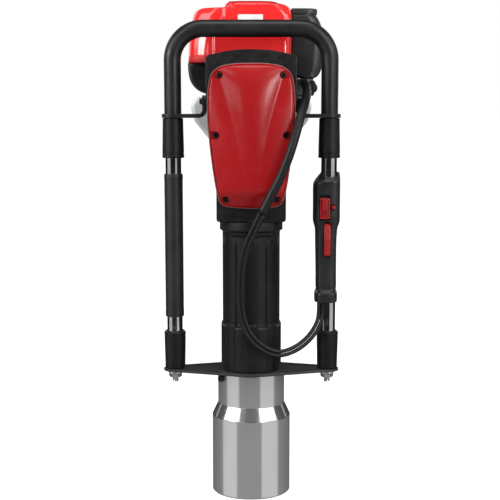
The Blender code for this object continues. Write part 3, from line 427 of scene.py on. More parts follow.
def turned(profile, centre=(0, 0), axis="Z", segments=96):
    """Spins a closed profile of (radius, height) points; a radius of 0 lies on the axis.
    centre is the axis's place: (x, y) for Z, (x, z) for Y and (y, z) for X."""
    bm = bmesh.new()
    rings = []
    for radius, height in profile:
        count = segments if radius > 1e-6 else 1
        points = [polar(centre, radius, 2 * math.pi * i / segments) for i in range(count)]
        rings.append([bm.verts.new(along(axis, *point, height)) for point in points])
    for first, second in zip(rings, rings[1:] + rings[:1]):
        for i in range(segments):
            j = (i + 1) % segments
            a, b = len(first), len(second)
            corners = list(dict.fromkeys([first[i % a], first[j % a], second[j % b], second[i % b]]))
            if len(corners) > 2:
                bm.faces.new(corners)
    return object_from(bm)


def rod(centre, radius, start, end, axis="Z", segments=48):
    return turned([(0, start), (radius, start), (radius, end), (0, end)], centre, axis, segments)


def layered(outline, layers, axis="Y"):
    """A solid with one outline, moved inwards by its own amount at each height: layers of (height, inset)."""
    return skin([[along(axis, *point, height) for point in inset(outline, amount)] for height, amount in layers])


def rounded_slab(outline, start, end, edge, axis="Y", steps=3):
    """An extruded outline with a rounded edge at both ends."""
    turns = [math.pi / 2 * i / steps for i in range(steps + 1)]
    layers = [(start + edge * (1 - math.cos(t)), edge * (1 - math.sin(t))) for t in turns]
    layers += [(end - edge * (1 - math.cos(t)), edge * (1 - math.sin(t))) for t in reversed(turns)]
    return layered(outline, layers, axis)


def prism(outline, start, end, axis="Y"):
    return layered(outline, [(start, 0), (end, 0)], axis)


def swept(path, radius, bore=0.0, sides=40):
    """A bar along a path, or a tube with a bore."""
    path = [Vector(point) for point in path]
    last = len(path) - 1
    tangents = [(path[min(i + 1, last)] - path[max(i - 1, 0)]).normalized() for i in range(last + 1)]
    across = tangents[0].orthogonal().normalized()
    outer, inner = [], []
    turns = [2 * math.pi * k / sides for k in range(sides)]
    for point, tangent in zip(path, tangents):
        across = (across - across.dot(tangent) * tangent).normalized()
        beside = tangent.cross(across)
        for reach, rings in ((radius, outer), (bore, inner)):
            if reach:
                rings.append([point + reach * (across * math.cos(t) + beside * math.sin(t)) for t in turns])
    return skin(outer + inner[::-1], closed=bool(inner))


def combine(solid, other, operation):
    modifier = solid.modifiers.new(operation, "BOOLEAN")
    modifier.operation = operation
    modifier.object = other
    graph = bpy.context.evaluated_depsgraph_get()
    result = bpy.data.meshes.new_from_object(solid.evaluated_get(graph))
    solid.modifiers.remove(modifier)
    solid.data = result
    bpy.data.objects.remove(other)
    return solid


def cut(solid, *tools):
    for tool in tools:
        combine(solid, tool, "DIFFERENCE")
    return solid


def join(solid, *others):
    for other in others:
        combine(solid, other, "UNION")
    return solid


def grouped(solids):
    """Several separate solids as one object."""
    bm = bmesh.new()
    for solid in solids:
        bm.from_mesh(solid.data)
        bpy.data.objects.remove(solid)
    return object_from(bm)


def moved(solid, matrix):
    solid.data.transform(matrix)
    return solid


# ---------------------------------------------------------------- outlines and paths


def smooth_through(points, steps):
    """Points along a Catmull-Rom curve through the given ones."""
    points = [Vector(point) for point in points]
    around = [2 * points[0] - points[1], *points, 2 * points[-1] - points[-2]]
    result = []
    for i in range(len(points) - 1):
        a, b, c, d = around[i : i + 4]
        for step in range(steps):
            t = step / steps
            curve = 2 * b + (c - a) * t + (2 * a - 5 * b + 4 * c - d) * t**2
            result.append(0.5 * (curve + (3 * b - a - 3 * c + d) * t**3))
    return result + [points[-1]]


def eased(points, radius, steps=4, closed=True):
    """Rounds the corners of a line of points. A third number on a point is its own radius; points on a
    turned profile's axis stay sharp."""
    places = [Vector(point[:2]) for point in points]
    result = []
    for i, point in enumerate(places):
        size = points[i][2] if len(points[i]) > 2 else radius
        ends = i in (0, len(places) - 1) and not closed
        before = places[i - 1] - point
        after = places[(i + 1) % len(places)] - point
        reach = min(before.length, after.length) * 0.48
        if ends or not size or reach < 1e-6:
            result.append(tuple(point))
            continue
        half = before.angle(after) / 2
        reach = min(reach, size / max(math.tan(half), 1e-3))
        if half > math.radians(87):
            result.append(tuple(point))
            continue
        start, end = point + before.normalized() * reach, point + after.normalized() * reach
        for step in range(steps + 1):
            t = step / steps
            result.append(tuple((1 - t) ** 2 * start + 2 * t * (1 - t) * point + t**2 * end))
    return result


def inset(outline, distance):
    """Moves each point of an outline inwards, square to the outline."""
    if not distance:
        return [tuple(point) for point in outline]
    points = [Vector(point) for point in outline]
    turning = sum(points[i - 1].cross(points[i]) for i in range(len(points)))
    side = 1 if turning > 0 else -1
    result = []
    for i, point in enumerate(points):
        before = (point - points[i - 1]).normalized()
        after = (points[(i + 1) % len(points)] - point).normalized()
        normal = Vector((-before.y - after.y, before.x + after.x)).normalized()
        square = max(0.5, normal.dot(Vector((-after.y, after.x))))
        result.append(tuple(point + side * distance / square * normal))
    return result


def shrunk(outline, distance):
    """Scales an outline about its middle so that its sides move in by a distance."""
    xs, zs = zip(*outline)
    middle = ((min(xs) + max(xs)) / 2, (min(zs) + max(zs)) / 2)
    half = (middle[0] - min(xs), middle[1] - min(zs))
    return [
        tuple(m + (value - m) * (1 - distance / h) for value, m, h in zip(point, middle, half)) for point in outline
    ]


def arc(centre, radius, start_degrees, end_degrees, steps):
    turns = [start_degrees + (end_degrees - start_degrees) * i / steps for i in range(steps + 1)]
    return [polar(centre, radius, math.radians(turn)) for turn in turns]


def rounded_rectangle(centre, half_width, half_height, corner, steps=6):
    x, z = half_width - corner, half_height - corner
    outline = []
    for sx, sz, start in ((1, 1, 0), (-1, 1, 90), (-1, -1, 180), (1, -1, 270)):
        outline += arc((centre[0] + sx * x, centre[1] + sz * z), corner, start, start + 90, steps)
    return outline


def superellipse(centre, half_width, half_depth, power):
    outline = []
    for i in range(72):
        c, s = math.cos(2 * math.pi * i / 72), math.sin(2 * math.pi * i / 72)
        x = half_width * math.copysign(abs(c) ** (2 / power), c)
        y = half_depth * math.copysign(abs(s) ** (2 / power), s)
        outline.append((centre[0] + x, centre[1] + y))
    return outline


def mirrored(right_half):
    """Closes an outline given by its right half, from the top middle down to the bottom."""
    return right_half + [(-x, z) for x, z in reversed(right_half) if x > 0.01]


def between(table, value):
    """Reads a table of (position, number) pairs along a smooth curve through them."""
    if value <= table[0][0]:
        return table[0][1]
    if value >= table[-1][0]:
        return table[-1][1]
    k = next(i for i in range(1, len(table)) if value <= table[i][0])

    def slope(i):
        low, high = max(i - 1, 0), min(i + 1, len(table) - 1)
        return (table[high][1] - table[low][1]) / (table[high][0] - table[low][0])

    (start, first), (end, second) = table[k - 1], table[k]
    width = end - start
    t = (value - start) / width
    turn = t * t * (3 - 2 * t)
    lead = (t**3 - 2 * t * t + t) * width * slope(k - 1)
    trail = (t**3 - t * t) * width * slope(k)
    return first + (second - first) * turn + lead + trail


def ramp(value, low, high):
    share = min(1.0, max(0.0, (value - low) / (high - low)))
    return share * share * (3 - 2 * share)


# ---------------------------------------------------------------- pieces


def soften(obj, width, angle):
    """Rounds the object's edges by a width in millimetres."""
    bevel = obj.modifiers.new("edges", "BEVEL")
    bevel.width = width * MM
    bevel.segments = 2
    bevel.limit_method = "ANGLE"
    bevel.angle_limit = math.radians(angle)
    bevel.harden_normals = True
    bevel.use_clamp_overlap = True


def piece(name, solid, body, material, replaces=None, sharp=40):
    """Names a finished solid, gives it its material and hangs it on its body."""
    solid.name = solid.data.name = name
    solid.data.transform(TO_FRAME)
    solid.data.materials.clear()
    solid.data.materials.append(MATERIALS[material])
    solid.data.shade_smooth()
    solid.data.set_sharp_from_angle(angle=math.radians(sharp))
    smooth = solid.modifiers.new("smooth", "WEIGHTED_NORMAL")
    smooth.keep_sharp = True
    smooth.weight = 80
    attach(solid, body)
    if replaces:
        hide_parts(replaces)
    return solid


def soft_tube(name, points, radius, sides, node, material):
    """A tube along a path that stands for a CAD node and hides that node."""
    tube = swept(points, radius, sides=sides)
    tube.name = tube.data.name = name
    tube.data.transform(TO_FRAME)
    tube.data.materials.append(MATERIALS[material])
    tube.data.shade_smooth()
    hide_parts(node)
    return tube


def head(rows, corners, count, centre, direction):
    """A turned solid that stands on centre and faces direction. Rows are (radius, height, share of the
    corners): 0 is round and 1 has flat sides."""
    sector = 2 * math.pi / corners
    rings = []
    for radius, height, flats in rows:
        ring = []
        for i in range(count):
            turn = 2 * math.pi * i / count
            flat_r = radius * math.cos(sector / 2) / math.cos(turn % sector - sector / 2)
            ring.append((*polar((0, 0), radius + flats * (flat_r - radius), turn), height))
        rings.append(ring)
    facing = Vector(direction).to_track_quat("Z", "Y").to_matrix().to_4x4()
    return moved(skin(rings), Matrix.Translation(Vector(centre)) @ facing)


def screw(centre, direction, head_r, head_h, corners=6, recess=0.5):
    """A cap screw's head, with a socket of so many corners."""
    socket_r, socket_h = head_r * recess, head_h * 0.6
    chamfer = head_r * 0.12
    rows = [
        (head_r, 0, 0), (head_r, head_h - chamfer, 0), (head_r - chamfer * 0.4, head_h - chamfer * 0.35, 0),
        (head_r - chamfer, head_h, 0), (socket_r * 1.12, head_h, 0), (socket_r * 1.04, head_h - 0.12, 1),
        (socket_r, head_h - 0.4, 1), (socket_r, head_h - socket_h, 1),
    ]
    return head(rows, corners, 48, centre, direction)


def bolt(centre, direction, across, height, washer):
    """A hexagon bolt's head on a washer."""
    corner = across / 2 / math.cos(math.pi / 6)
    rows = [
        (washer - 0.3, 0, 0), (washer, 0.3, 0), (washer, 0.9, 0), (washer - 0.3, 1.2, 0), (corner + 0.2, 1.25, 0),
        (corner, 1.3, 1), (corner, height - 0.5, 1), (corner * 0.97, height - 0.2, 0.8), (corner * 0.88, height, 0),
    ]
    return head(rows, 6, 72, centre, direction)


def flange_nut(centre, direction, height):
    """A flanged hexagon nut on a thick washer."""
    rows = [
        (10.2, 0, 0), (10.8, 0.5, 0), (10.8, 3.6, 0), (10.3, 4.1, 0), (9.8, 4.2, 0), (9.8, 4.5, 0),
        (10.2, 4.9, 1), (10.2, height - 1.5, 1), (9.6, height - 0.7, 0.8), (8.4, height, 0),
    ]
    return head(rows, 6, 72, centre, direction)


# ---------------------------------------------------------------- sleeve, bracket and barrel

NECK_R = 52.0
SHOULDER_Z = (123.5, 143.0)
WEB_Z = (128.0, 143.0)
POST_BORE_R = 52.5
NOSE_R = 37.0
NOSE_BORE_R = 27.0
SHANK_R = 20.0
LOCK_SCREW_Z = 185.2
LOCK_SCREW_TURN = 30.0


def to_lock_screw():
    return Matrix.Rotation(math.radians(LOCK_SCREW_TURN), 4, "Z")


def build_sleeve():
    high = span("drive_sleeve")[1]
    outer, top = high.x, high.z
    profile = [
        (POST_BORE_R + 1.5, 0, 0.5), (outer - 1.8, 0, 0.5), (outer, 1.8, 0.8), (outer, SHOULDER_Z[0], 3.5),
        (NECK_R, SHOULDER_Z[1], 1.5), (NECK_R, top, 0.8), (NOSE_R + 0.35, top, 0.5), (NOSE_R + 0.35, WEB_Z[1], 2),
        (SHANK_R + 1, WEB_Z[1], 0.6), (SHANK_R + 1, WEB_Z[0], 0.6), (POST_BORE_R - 8, WEB_Z[0], 2),
        (POST_BORE_R, WEB_Z[0] - 10, 2), (POST_BORE_R, 1.5, 0.3),
    ]
    sleeve = turned(eased(profile, 0.5), segments=144)
    cut(sleeve, moved(rod((0, LOCK_SCREW_Z), 4.3, -NECK_R - 5, -NOSE_R + 5, "X"), to_lock_screw()))
    piece("drive_sleeve_turned", sleeve, "machine", "sleeve_steel", "drive_sleeve", sharp=50)
    cap = screw((-NECK_R - 0.3, 0, LOCK_SCREW_Z), (-1, 0, 0), 5.2, 5.0)
    tip = -NOSE_R + 3.5
    shank = turned(eased([(0, -NECK_R), (4, -NECK_R), (4, tip), (0, tip)], 0.4), (0, LOCK_SCREW_Z), "X", 32)
    lock = moved(grouped([cap, shank]), to_lock_screw())
    piece("lock_screw", lock, "machine", "screw_black", "sleeve_lock_screw")


def build_bracket():
    low, high = span("lower_bracket")
    arm = span("side_rod_right")
    arm_x = (arm[0].x + arm[1].x) / 2
    middle_r, end_r = high.y, high.x - arm_x
    tangent = math.degrees(math.acos((middle_r - end_r) / arm_x))
    outline = arc((arm_x, 0), end_r, -tangent, tangent, 20) + arc((0, 0), middle_r, tangent, 180 - tangent, 24)
    outline += arc((-arm_x, 0), end_r, 180 - tangent, 180 + tangent, 20)
    outline += arc((0, 0), middle_r, 180 + tangent, 360 - tangent, 24)
    plate = rounded_slab(outline, low.z, high.z, 0.8, "Z")
    cut(plate, rod((0, 0), NOSE_R + 0.35, low.z - 5, high.z + 5, segments=96))
    for side in (-1, 1):
        cut(plate, rod((side * arm_x, 0), 5.6, low.z - 5, high.z + 5, segments=32))
    # The plate gets a lighter copy of the frame's black, which is painted light for its lit top.
    piece("bracket_plate", plate, "machine", "plate_black_painted_lit", "lower_bracket")


RIBS = 8
RIB_R = 44.2
GROOVE_R = 41.2
COLLAR_R = 46.6
COLLAR_TOP_Z = 272.0
LINER_HOLE_R = 36.35
FLANGE_Z = (415.0, 428.7)


def groove(turn, half_width, edge=2.2):
    """1 in the middle of the hollow between two ribs and 0 on a rib, for a bearing in degrees."""
    pitch = 360 / RIBS
    away = abs(((turn + 90) % pitch) - pitch / 2)
    return ramp(half_width + edge - away, 0, edge)


def build_barrel():
    low, high = span("barrel")
    collar_low = span("lower_bracket")[1].z + 0.3
    rings = []

    def add(*rows):
        """Rings, each from a radius and a height that are numbers or functions of the bearing."""
        for radius, height in rows:
            ring = []
            for turn in range(360):
                reach = radius(turn) if callable(radius) else radius
                level = height(turn) if callable(height) else height
                ring.append((*polar((0, 0), reach, math.radians(turn)), level))
            rings.append(ring)

    add((NOSE_BORE_R, low.z), (NOSE_R - 1, low.z), (NOSE_R, low.z + 1), (NOSE_R, collar_low),
        (COLLAR_R - 1.2, collar_low), (COLLAR_R - 0.35, collar_low + 0.35))

    def collar(turn, height):
        """The collar's radius, with a raised panel between two fine lines below each hollow."""
        lines = groove(turn, 11.5, 0.9) - groove(turn, 9.6, 0.9)
        return COLLAR_R - 0.8 * lines * ramp(height, collar_low + 4, collar_low + 6)

    for step in range(13):
        height = collar_low + 1.2 + (COLLAR_TOP_Z - 9 - collar_low) * step / 12
        add((lambda turn, h=height: collar(turn, h), height))
    for step in range(1, 7):
        lean = math.pi / 2 * step / 6

        def radius(turn, lean=lean):
            start, end = collar(turn, COLLAR_TOP_Z), RIB_R + 0.4 - 2.6 * groove(turn, 10.5)
            return end + (start - end) * math.cos(lean)

        def level(turn, lean=lean):
            start = COLLAR_TOP_Z - 5.5 - 2.6 * groove(turn, 10.5)
            return start + 5.5 * math.sin(lean)

        add((radius, level))

    def rib(turn, height):
        flare = min(1.0, max(0.0, (height - 395) / 11))
        return RIB_R - (RIB_R - GROOVE_R) * groove(turn, 10 + 8 * flare, 1.6) * (1 - ramp(height, 406, 409.5))

    heights = [COLLAR_TOP_Z + 0.6 + (394 - COLLAR_TOP_Z) * step / 14 for step in range(15)]
    heights += [395 + 1.0 * step for step in range(1, 16)]
    for height in heights:
        add((lambda turn, h=height: rib(turn, h), height))
    flange_low, flange_high = FLANGE_Z
    buffer_z = span("buffer_ring")[0].z - 0.3
    add((RIB_R, flange_low - 3.5), (RIB_R + 0.5, flange_low - 1.8), (high.x - 1.2, flange_low),
        (high.x - 0.3, flange_low + 0.3), (high.x, flange_low + 1.2), (high.x, flange_high - 0.8),
        (high.x - 0.8, flange_high), (LINER_HOLE_R, flange_high), (LINER_HOLE_R, buffer_z), (NOSE_BORE_R, buffer_z))
    piece("barrel_casting", skin(rings, closed=True), "machine", "case_black", "barrel", sharp=60)
    corners = arc((0, 0), high.x - 5.2, 45, 315, 3)
    heads = [screw((x, y, flange_low + 0.4), (0, 0, -1), 3.4, 3.2) for x, y in corners]
    piece("flange_screws", grouped(heads), "machine", "screw_black")


# ---------------------------------------------------------------- gear case and cover

COVER_SCREWS = [(47.5, 647, 14), (53.0, 559, 0), (39.0, 463, -40)]  # place, and bearing of the open side
LIP = 1.6
COVER_EDGE, COVER_WALL = 2.2, 6.5  # how far in the wall starts, and its width
COVER_MIDDLE = Vector((0, 566))
WALL_STEPS, FIELD_STEPS = 14, 34
CRANK_HOLE = (0, 581)
ENGINE_Z = 629.75
CASE_SEAM_Y = 3.0


def cover_outline(steps=14):
    right = [(0, 664), (27, 663), (50, 657), (61.5, 640), (65, 600), (62.5, 555), (57, 508), (50, 470), (40, 454)]
    curve = [tuple(point.to_2d()) for point in smooth_through([(x, z, 0) for x, z in right + [(0, 450)]], steps)]
    return mirrored(curve)


def case_outline():
    right = [(0, 685), (15, 684.5), (30, 683.2), (44, 680.8), (57, 677.6)]
    right += arc((59.5, 669.5), 8, 72, 0, 6)
    right += [(67.6, 640), (67.5, 611), (61, 560), (57, 523), (53.3, 492), (52.5, 470), (52.5, 429)]
    return mirrored(right)


# The cover's crease, its height in the middle and how much its flanks fall away, each at a height z.
CREASE = [(458, 8), (500, 13), (540, 19), (570, 25), (600, 33), (630, 42), (655, 50)]
CREST = [(450, 3.5), (457, 7.5), (465, 13.0), (472, 17.6), (475.5, 19.2), (480, 19.8), (500, 20.6), (550, 22.0),
         (590, 21.9), (615, 20.6), (635, 18.2), (648, 15.0), (657, 10.5), (664, 6)]
FALL = [(458, 0.2), (485, 0.8), (520, 2.2), (560, 4.6), (600, 7.4), (630, 9.0), (646, 8.0), (656, 5.0), (664, 1.5)]


def cover_height(x, z):
    """How far the cover's face stands out from its flange: a shield that narrows downwards, raised in the
    middle, whose flanks fall away to a crease, with flatter fields outside it."""
    crease = between(CREASE, z)
    crest, fall = between(CREST, z), between(FALL, z)
    away = abs(x) / crease
    inside = crest - fall * min(away, 1.0) ** 2.3
    outside = max(0.0, abs(x) - crease)
    return inside + 0.03 * outside - 0.004 * outside**2 + 0.2 * math.exp(-((abs(x) - crease) / 1.6) ** 2)


def build_gear_cover():
    low, high = span("gear_cover")
    back, front = high.y, low.y
    outline = cover_outline()
    reach = back - front
    flange = [
        (back, shrunk(outline, 12)), (back, outline), (back - LIP + 0.5, outline), (back - LIP, inset(outline, 0.5)),
        (back - LIP, inset(outline, 2.0)),
    ]
    rings = [[(x, y, z) for x, z in line] for y, line in flange]
    for step in range(1, WALL_STEPS + 1):
        share = step / WALL_STEPS
        rise = math.sqrt(max(0.0, 1 - (1 - share) ** 4))
        line = inset(outline, COVER_EDGE + COVER_WALL * share**2)
        heights = [LIP + (min(cover_height(x, z), reach) - LIP) * rise for x, z in line]
        rings.append([(x, back - height, z) for (x, z), height in zip(line, heights)])
    edge = inset(outline, COVER_EDGE + COVER_WALL)
    for step in range(1, FIELD_STEPS):
        line = [Vector(point).lerp(COVER_MIDDLE, step / FIELD_STEPS) for point in edge]
        rings.append([(x, back - min(cover_height(x, z), reach), z) for x, z in line])
    top = back - cover_height(0, COVER_MIDDLE.y)
    rings.append([(x * 0.001, top, COVER_MIDDLE.y + (z - COVER_MIDDLE.y) * 0.001) for x, z in edge])
    cover = skin(rings)
    hollow = layered(shrunk(outline, 14), [(back + 5, 0), (back - 4, 0), (back - 7, 4)])
    cut(cover, hollow)
    heads = []
    for x, z, bearing in COVER_SCREWS:
        for side in (-1, 1):
            cut(cover, screw_pocket(side * x, z, side, bearing, front - 5, back - 4.2))
            heads.append(screw((side * x, back - 4.4, z), (0, -1, 0), 3.9, 5.2, recess=0.55))
    piece("cover_shell", cover, "machine", "cover_red", "gear_cover", sharp=42)
    piece("cover_screws", grouped(heads), "machine", "screw_black")


def screw_pocket(x, z, side, bearing, start, end):
    """A round pocket that opens outwards past the cover's wall."""
    radius = 5.7
    lean = math.radians(bearing)
    outward = Vector((math.cos(lean), math.sin(lean)))
    across = Vector((-outward.y, outward.x))
    tail = Vector((abs(x), z)) + outward * 16
    outline = [tuple(tail + across * radius * 1.15)]
    outline += arc((abs(x), z), radius, bearing + 90, bearing + 270, 24)
    outline += [tuple(tail - across * radius * 1.15)]
    return prism([(side * a, b) for a, b in outline], start, end)


def build_gasket():
    low, high = span("cover_gasket")
    outline = inset(cover_outline(), -0.9)
    gasket = rounded_slab(outline, low.y, high.y, 0.25, steps=1)
    cut(gasket, prism(shrunk(outline, 15), low.y - 2, high.y + 2))
    piece("gasket_sheet", gasket, "machine", "gasket_fibre", "cover_gasket")


def build_gear_case():
    low, high = span("gear_case")
    front, back = low.y, high.y
    seam = CASE_SEAM_Y
    layers = [(front, 1.4), (front + 0.4, 0.5), (front + 1.4, 0), (seam, 0), (seam + 0.5, 0.7), (seam + 1.3, 0.7),
              (seam + 1.8, 0), (back - 2.4, 0), (back - 0.7, 0.7), (back, 2.4)]
    case = layered(eased(case_outline(), 5), layers)
    cut(case, prism(shrunk(cover_outline(6), 15), front - 5, 28))
    cut(case, rod((0, 0), LINER_HOLE_R, 424, 487, segments=64))
    cut(case, rod(CRANK_HOLE, 16, 23, back - 3, "Y"), rod((0, ENGINE_Z), 14, 23, back + 5, "Y"))
    scoop = eased([(-30, 436), (30, 436), (27, 447), (-27, 447)], 2)
    cut(case, layered(scoop, [(front - 1, -0.8), (front + 1.2, 0.4)]))
    piece("case_casting", case, "machine", "case_black", "gear_case", sharp=38)

    heads, bosses = [], []
    for x, z in ((19, 677.2), (42, 674.6), (50.5, 664.2)):
        for side in (-1, 1):
            boss = [(0, front + 1), (3.6, front + 1), (3.4, front - 0.4), (0, front - 0.4)]
            bosses.append(turned(eased(boss, 0.3), (side * x, z), "Y", 40))
            heads.append(screw((side * x, front - 0.4, z), (0, -1, 0), 2.4, 1.8, recess=0.5))
    piece("case_bosses", grouped(bosses), "machine", "case_black")
    piece("case_screws", grouped(heads), "machine", "screw_black")


# ---------------------------------------------------------------- handle frame

FRAME_X = 119.0
LOOP_R = 13.0
LOOP_BORE_R = 12.3
LOOP_BEND_R = 47.0
ROD_R = 12.0
SPRING_R = 8.6
SPRING_WIRE_R = 1.4
SPRING_TURNS = 4
ROD_BORE_R = 10.0
STUD_R = 5.0
THREAD_PITCH = 1.5
ROD_FOOT_Z = 222.0


def build_loop():
    low, high = span("top_loop")
    top = high.z - LOOP_R
    corner_x, corner_z = FRAME_X - LOOP_BEND_R, top - LOOP_BEND_R
    leg = [(-FRAME_X, low.z + (corner_z - low.z) * i / 6) for i in range(6)]
    path = leg + arc((-corner_x, corner_z), LOOP_BEND_R, 180, 90, 24)
    path += [(-corner_x + 2 * corner_x * i / 10, top) for i in range(1, 10)]
    path += arc((corner_x, corner_z), LOOP_BEND_R, 90, 0, 24) + [(-x, z) for x, z in reversed(leg)]
    loop = swept([(x, 0, z) for x, z in path], LOOP_R, LOOP_BORE_R, 56)
    piece("loop_tube", loop, "handle", "frame_black", "top_loop")


def build_rods():
    for side, name in ((-1, "left"), (1, "right")):
        at = (side * FRAME_X, 0)
        low, high = span("side_rod_" + name)
        profile = [(0, low.z), (STUD_R - 0.9, low.z), (STUD_R, low.z + 0.9)]
        count = int((ROD_FOOT_Z - low.z - 14) / THREAD_PITCH)
        for i in range(count):
            height = low.z + 1.2 + i * THREAD_PITCH
            profile += [(STUD_R, height), (STUD_R - 0.6, height + THREAD_PITCH / 2)]
        profile += [
            (STUD_R, low.z + 1.2 + count * THREAD_PITCH), (STUD_R, ROD_FOOT_Z), (ROD_R - 1, ROD_FOOT_Z),
            (ROD_R, ROD_FOOT_Z + 1), (ROD_R, high.z), (ROD_BORE_R, high.z), (ROD_BORE_R, ROD_FOOT_Z + 10),
            (0, ROD_FOOT_Z + 10),
        ]
        solid = turned(profile, at, segments=72)
        piece("rod_" + name, solid, "handle", "rod_chrome", "side_rod_" + name)
        nut_low, nut_high = span("frame_nut_" + name)
        nut = flange_nut((at[0], 0, nut_high.z), (0, 0, -1), nut_high.z - nut_low.z)
        cut(nut, rod(at, STUD_R + 0.2, nut_low.z - 5, nut_high.z + 5))
        piece("nut_" + name, nut, "handle", "zinc", "frame_nut_" + name, sharp=30)


def build_left_grip():
    low, high = span("left_grip")
    outer = (high.x - low.x) / 2
    profile = [
        (ROD_R + 0.3, low.z), (outer - 0.4, low.z, 1.6), (outer, low.z + 5, 3), (outer - 0.35, low.z + 12, 3),
        (outer - 0.35, high.z - 12, 3), (outer, high.z - 5, 3), (outer - 0.4, high.z, 1.6), (ROD_R + 0.3, high.z),
    ]
    grip = turned(eased(profile, 0.3), (-FRAME_X, 0), segments=72)
    piece("grip_left", grip, "handle", "grip_rubber", "left_grip")


def build_dampers():
    """Tapered rubber sleeves: wide where the rod enters them and narrower at their plates."""
    narrow = 1.2
    for side, name in ((-1, "left"), (1, "right")):
        at = (side * FRAME_X, 0)
        low, high = span("upper_damper_" + name)
        wide = (high.x - low.x) / 2
        profile = [
            (ROD_R + 0.6, low.z), (wide - 0.8, low.z, 0.8), (wide, low.z + 1.2, 1), (wide - 0.1, low.z + 5.2, 0.3),
            (wide - 0.7, low.z + 5.6, 0.3), (wide - 0.7, low.z + 6.6, 0.3), (wide - 0.2, low.z + 7, 0.3),
            (wide - narrow, high.z - 1, 0.8), (wide - narrow - 0.9, high.z, 0.5), (LOOP_R + 0.5, high.z),
            (LOOP_R + 0.5, low.z + 5), (ROD_R + 0.6, low.z + 5),
        ]
        upper = turned(eased(profile, 0.3), at, segments=72)
        piece("upper_sleeve_" + name, upper, "machine", "damper_rubber", "upper_damper_" + name)
        low, high = span("lower_damper_" + name)
        profile = [
            (ROD_R + 0.6, low.z), (wide - narrow - 0.6, low.z, 0.5), (wide - narrow, low.z + 1, 0.8),
            (wide - 0.15, high.z - 8.4, 0.3), (wide - 0.7, high.z - 8, 0.3), (wide - 0.7, high.z - 7, 0.3),
            (wide, high.z - 6.6, 0.3), (wide, high.z - 2.5, 2.6), (wide - 2.6, high.z, 1.8), (ROD_R + 0.6, high.z),
        ]
        lower = turned(eased(profile, 0.3), at, segments=72)
        piece("lower_sleeve_" + name, lower, "machine", "damper_rubber", "lower_damper_" + name)
        build_upper_bracket(side, name)
        build_spring(side, name)


def build_spring(side, name):
    """The coil stands on the machine and carries the handle; it runs between the ends of its CAD node."""
    low, high = span("damper_spring_" + name)
    foot, top = low.z + SPRING_WIRE_R, high.z - SPRING_WIRE_R
    count = SPRING_TURNS * 36
    path = []
    for i in range(count + 1):
        x, y = polar((side * FRAME_X, 0), SPRING_R, 2 * math.pi * i / 36)
        path.append((x, y, foot + (top - foot) * i / count))
    node = "damper_spring_" + name
    coil = soft_tube("spring_" + name, path, SPRING_WIRE_R, 16, node, "plain_steel")
    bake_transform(coil)


BRACKET_WALL = 6.0
BRACKET_CORNER_R = 7.0


def build_upper_bracket(side, name):
    low, high = span("upper_bracket_" + name)
    near, depth, wall = min(abs(low.x), abs(high.x)), high.y, BRACKET_WALL
    plate_low, plate_high = low.z, low.z + wall
    bend = (near + wall + 6, plate_high + 6)
    strip = arc(bend, wall + 6, 270, 180, 12) + [(near, high.z), (near + wall, high.z)]
    strip += arc(bend, 6, 180, 270, 10) + [(FRAME_X, plate_high), (FRAME_X, plate_low)]
    bracket = rounded_slab([(side * x, z) for x, z in strip], -depth, depth, 0.8, steps=2)
    at = (side * FRAME_X, 0)
    disc = eased([(0, plate_low), (depth, plate_low), (depth, plate_high), (0, plate_high)], 0.8)
    join(bracket, turned(disc, at, segments=72))
    cut(bracket, rod(at, LOOP_R + 0.5, plate_low - 5, plate_high + 5, segments=56))
    corner_y, corner_z = depth - BRACKET_CORNER_R, high.z - BRACKET_CORNER_R
    corner = arc((corner_y, corner_z), BRACKET_CORNER_R, 0, 90, 12)
    corner += [(corner_y, high.z + 5), (depth + 8, high.z + 5), (depth + 8, corner_z)]
    start, stop = sorted((side * (near - 5), side * (near + wall + 5)))
    for end in (-1, 1):
        cut(bracket, prism([(end * y, z) for y, z in corner], start, stop, "X"))
    piece("bracket_" + name, bracket, "machine", "frame_black", "upper_bracket_" + name)
    outside = side * (near + wall)
    heads = [bolt((outside, y, high.z - 9), (side, 0, 0), 8, 4.2, washer=5.6) for y in (-9, 9)]
    piece("bracket_bolts_" + name, grouped(heads), "machine", "screw_black")


# ---------------------------------------------------------------- throttle grip and its controls

GRIP_SECTIONS = [  # height, centre x, half-width, centre y and half-depth
    (303, 115.5, 16.4, -2, 21.4), (304.2, 115.5, 17.4, -2, 22.4), (317, 115.5, 17.4, -2, 22.4),
    (319.5, 115.6, 16.6, -1.6, 21.2), (322, 115.7, 15.7, -1, 19.0), (324, 115.7, 15.3, -1, 18.6),
    (326, 115.7, 15.8, -1, 19.2), (350, 115.5, 15.8, -1, 18.0), (372, 115.2, 16.0, -1, 18.2),
    (395, 115.0, 16.3, -1, 18.5), (412, 115.2, 16.9, -1, 19.2), (418, 115.3, 17.5, -1, 20.0),
    (426, 115.5, 20.0, -1, 21.3), (431, 115.5, 20.6, -1, 21.5), (450, 115.5, 20.6, -1, 21.5),
    (484, 115.5, 20.6, -1, 21.5), (488, 116.1, 20.0, -1, 21.4), (496, 119.0, 17.0, 0, 20.4),
    (501, 120.6, 14.6, 0, 18.8), (502.4, 120.8, 13.8, 0, 17.6),
]
TRIGGER = (116.0, -16.5, 422.0)
LOCKOUT = (116.0, 20.0, 420.0)
SWITCH = (112.0, 448.0)
BUTTON = (125.5, 450.0)
LEAD_SPACING = 3.2
LEAD_R = 3.0
CONDUIT_R = 6.8


def grip_section(height):
    """The grip's section at a height, read smoothly between the sections above."""
    tables = [[(row[0], row[k]) for row in GRIP_SECTIONS] for k in range(1, 5)]
    return [between(table, height) for table in tables]


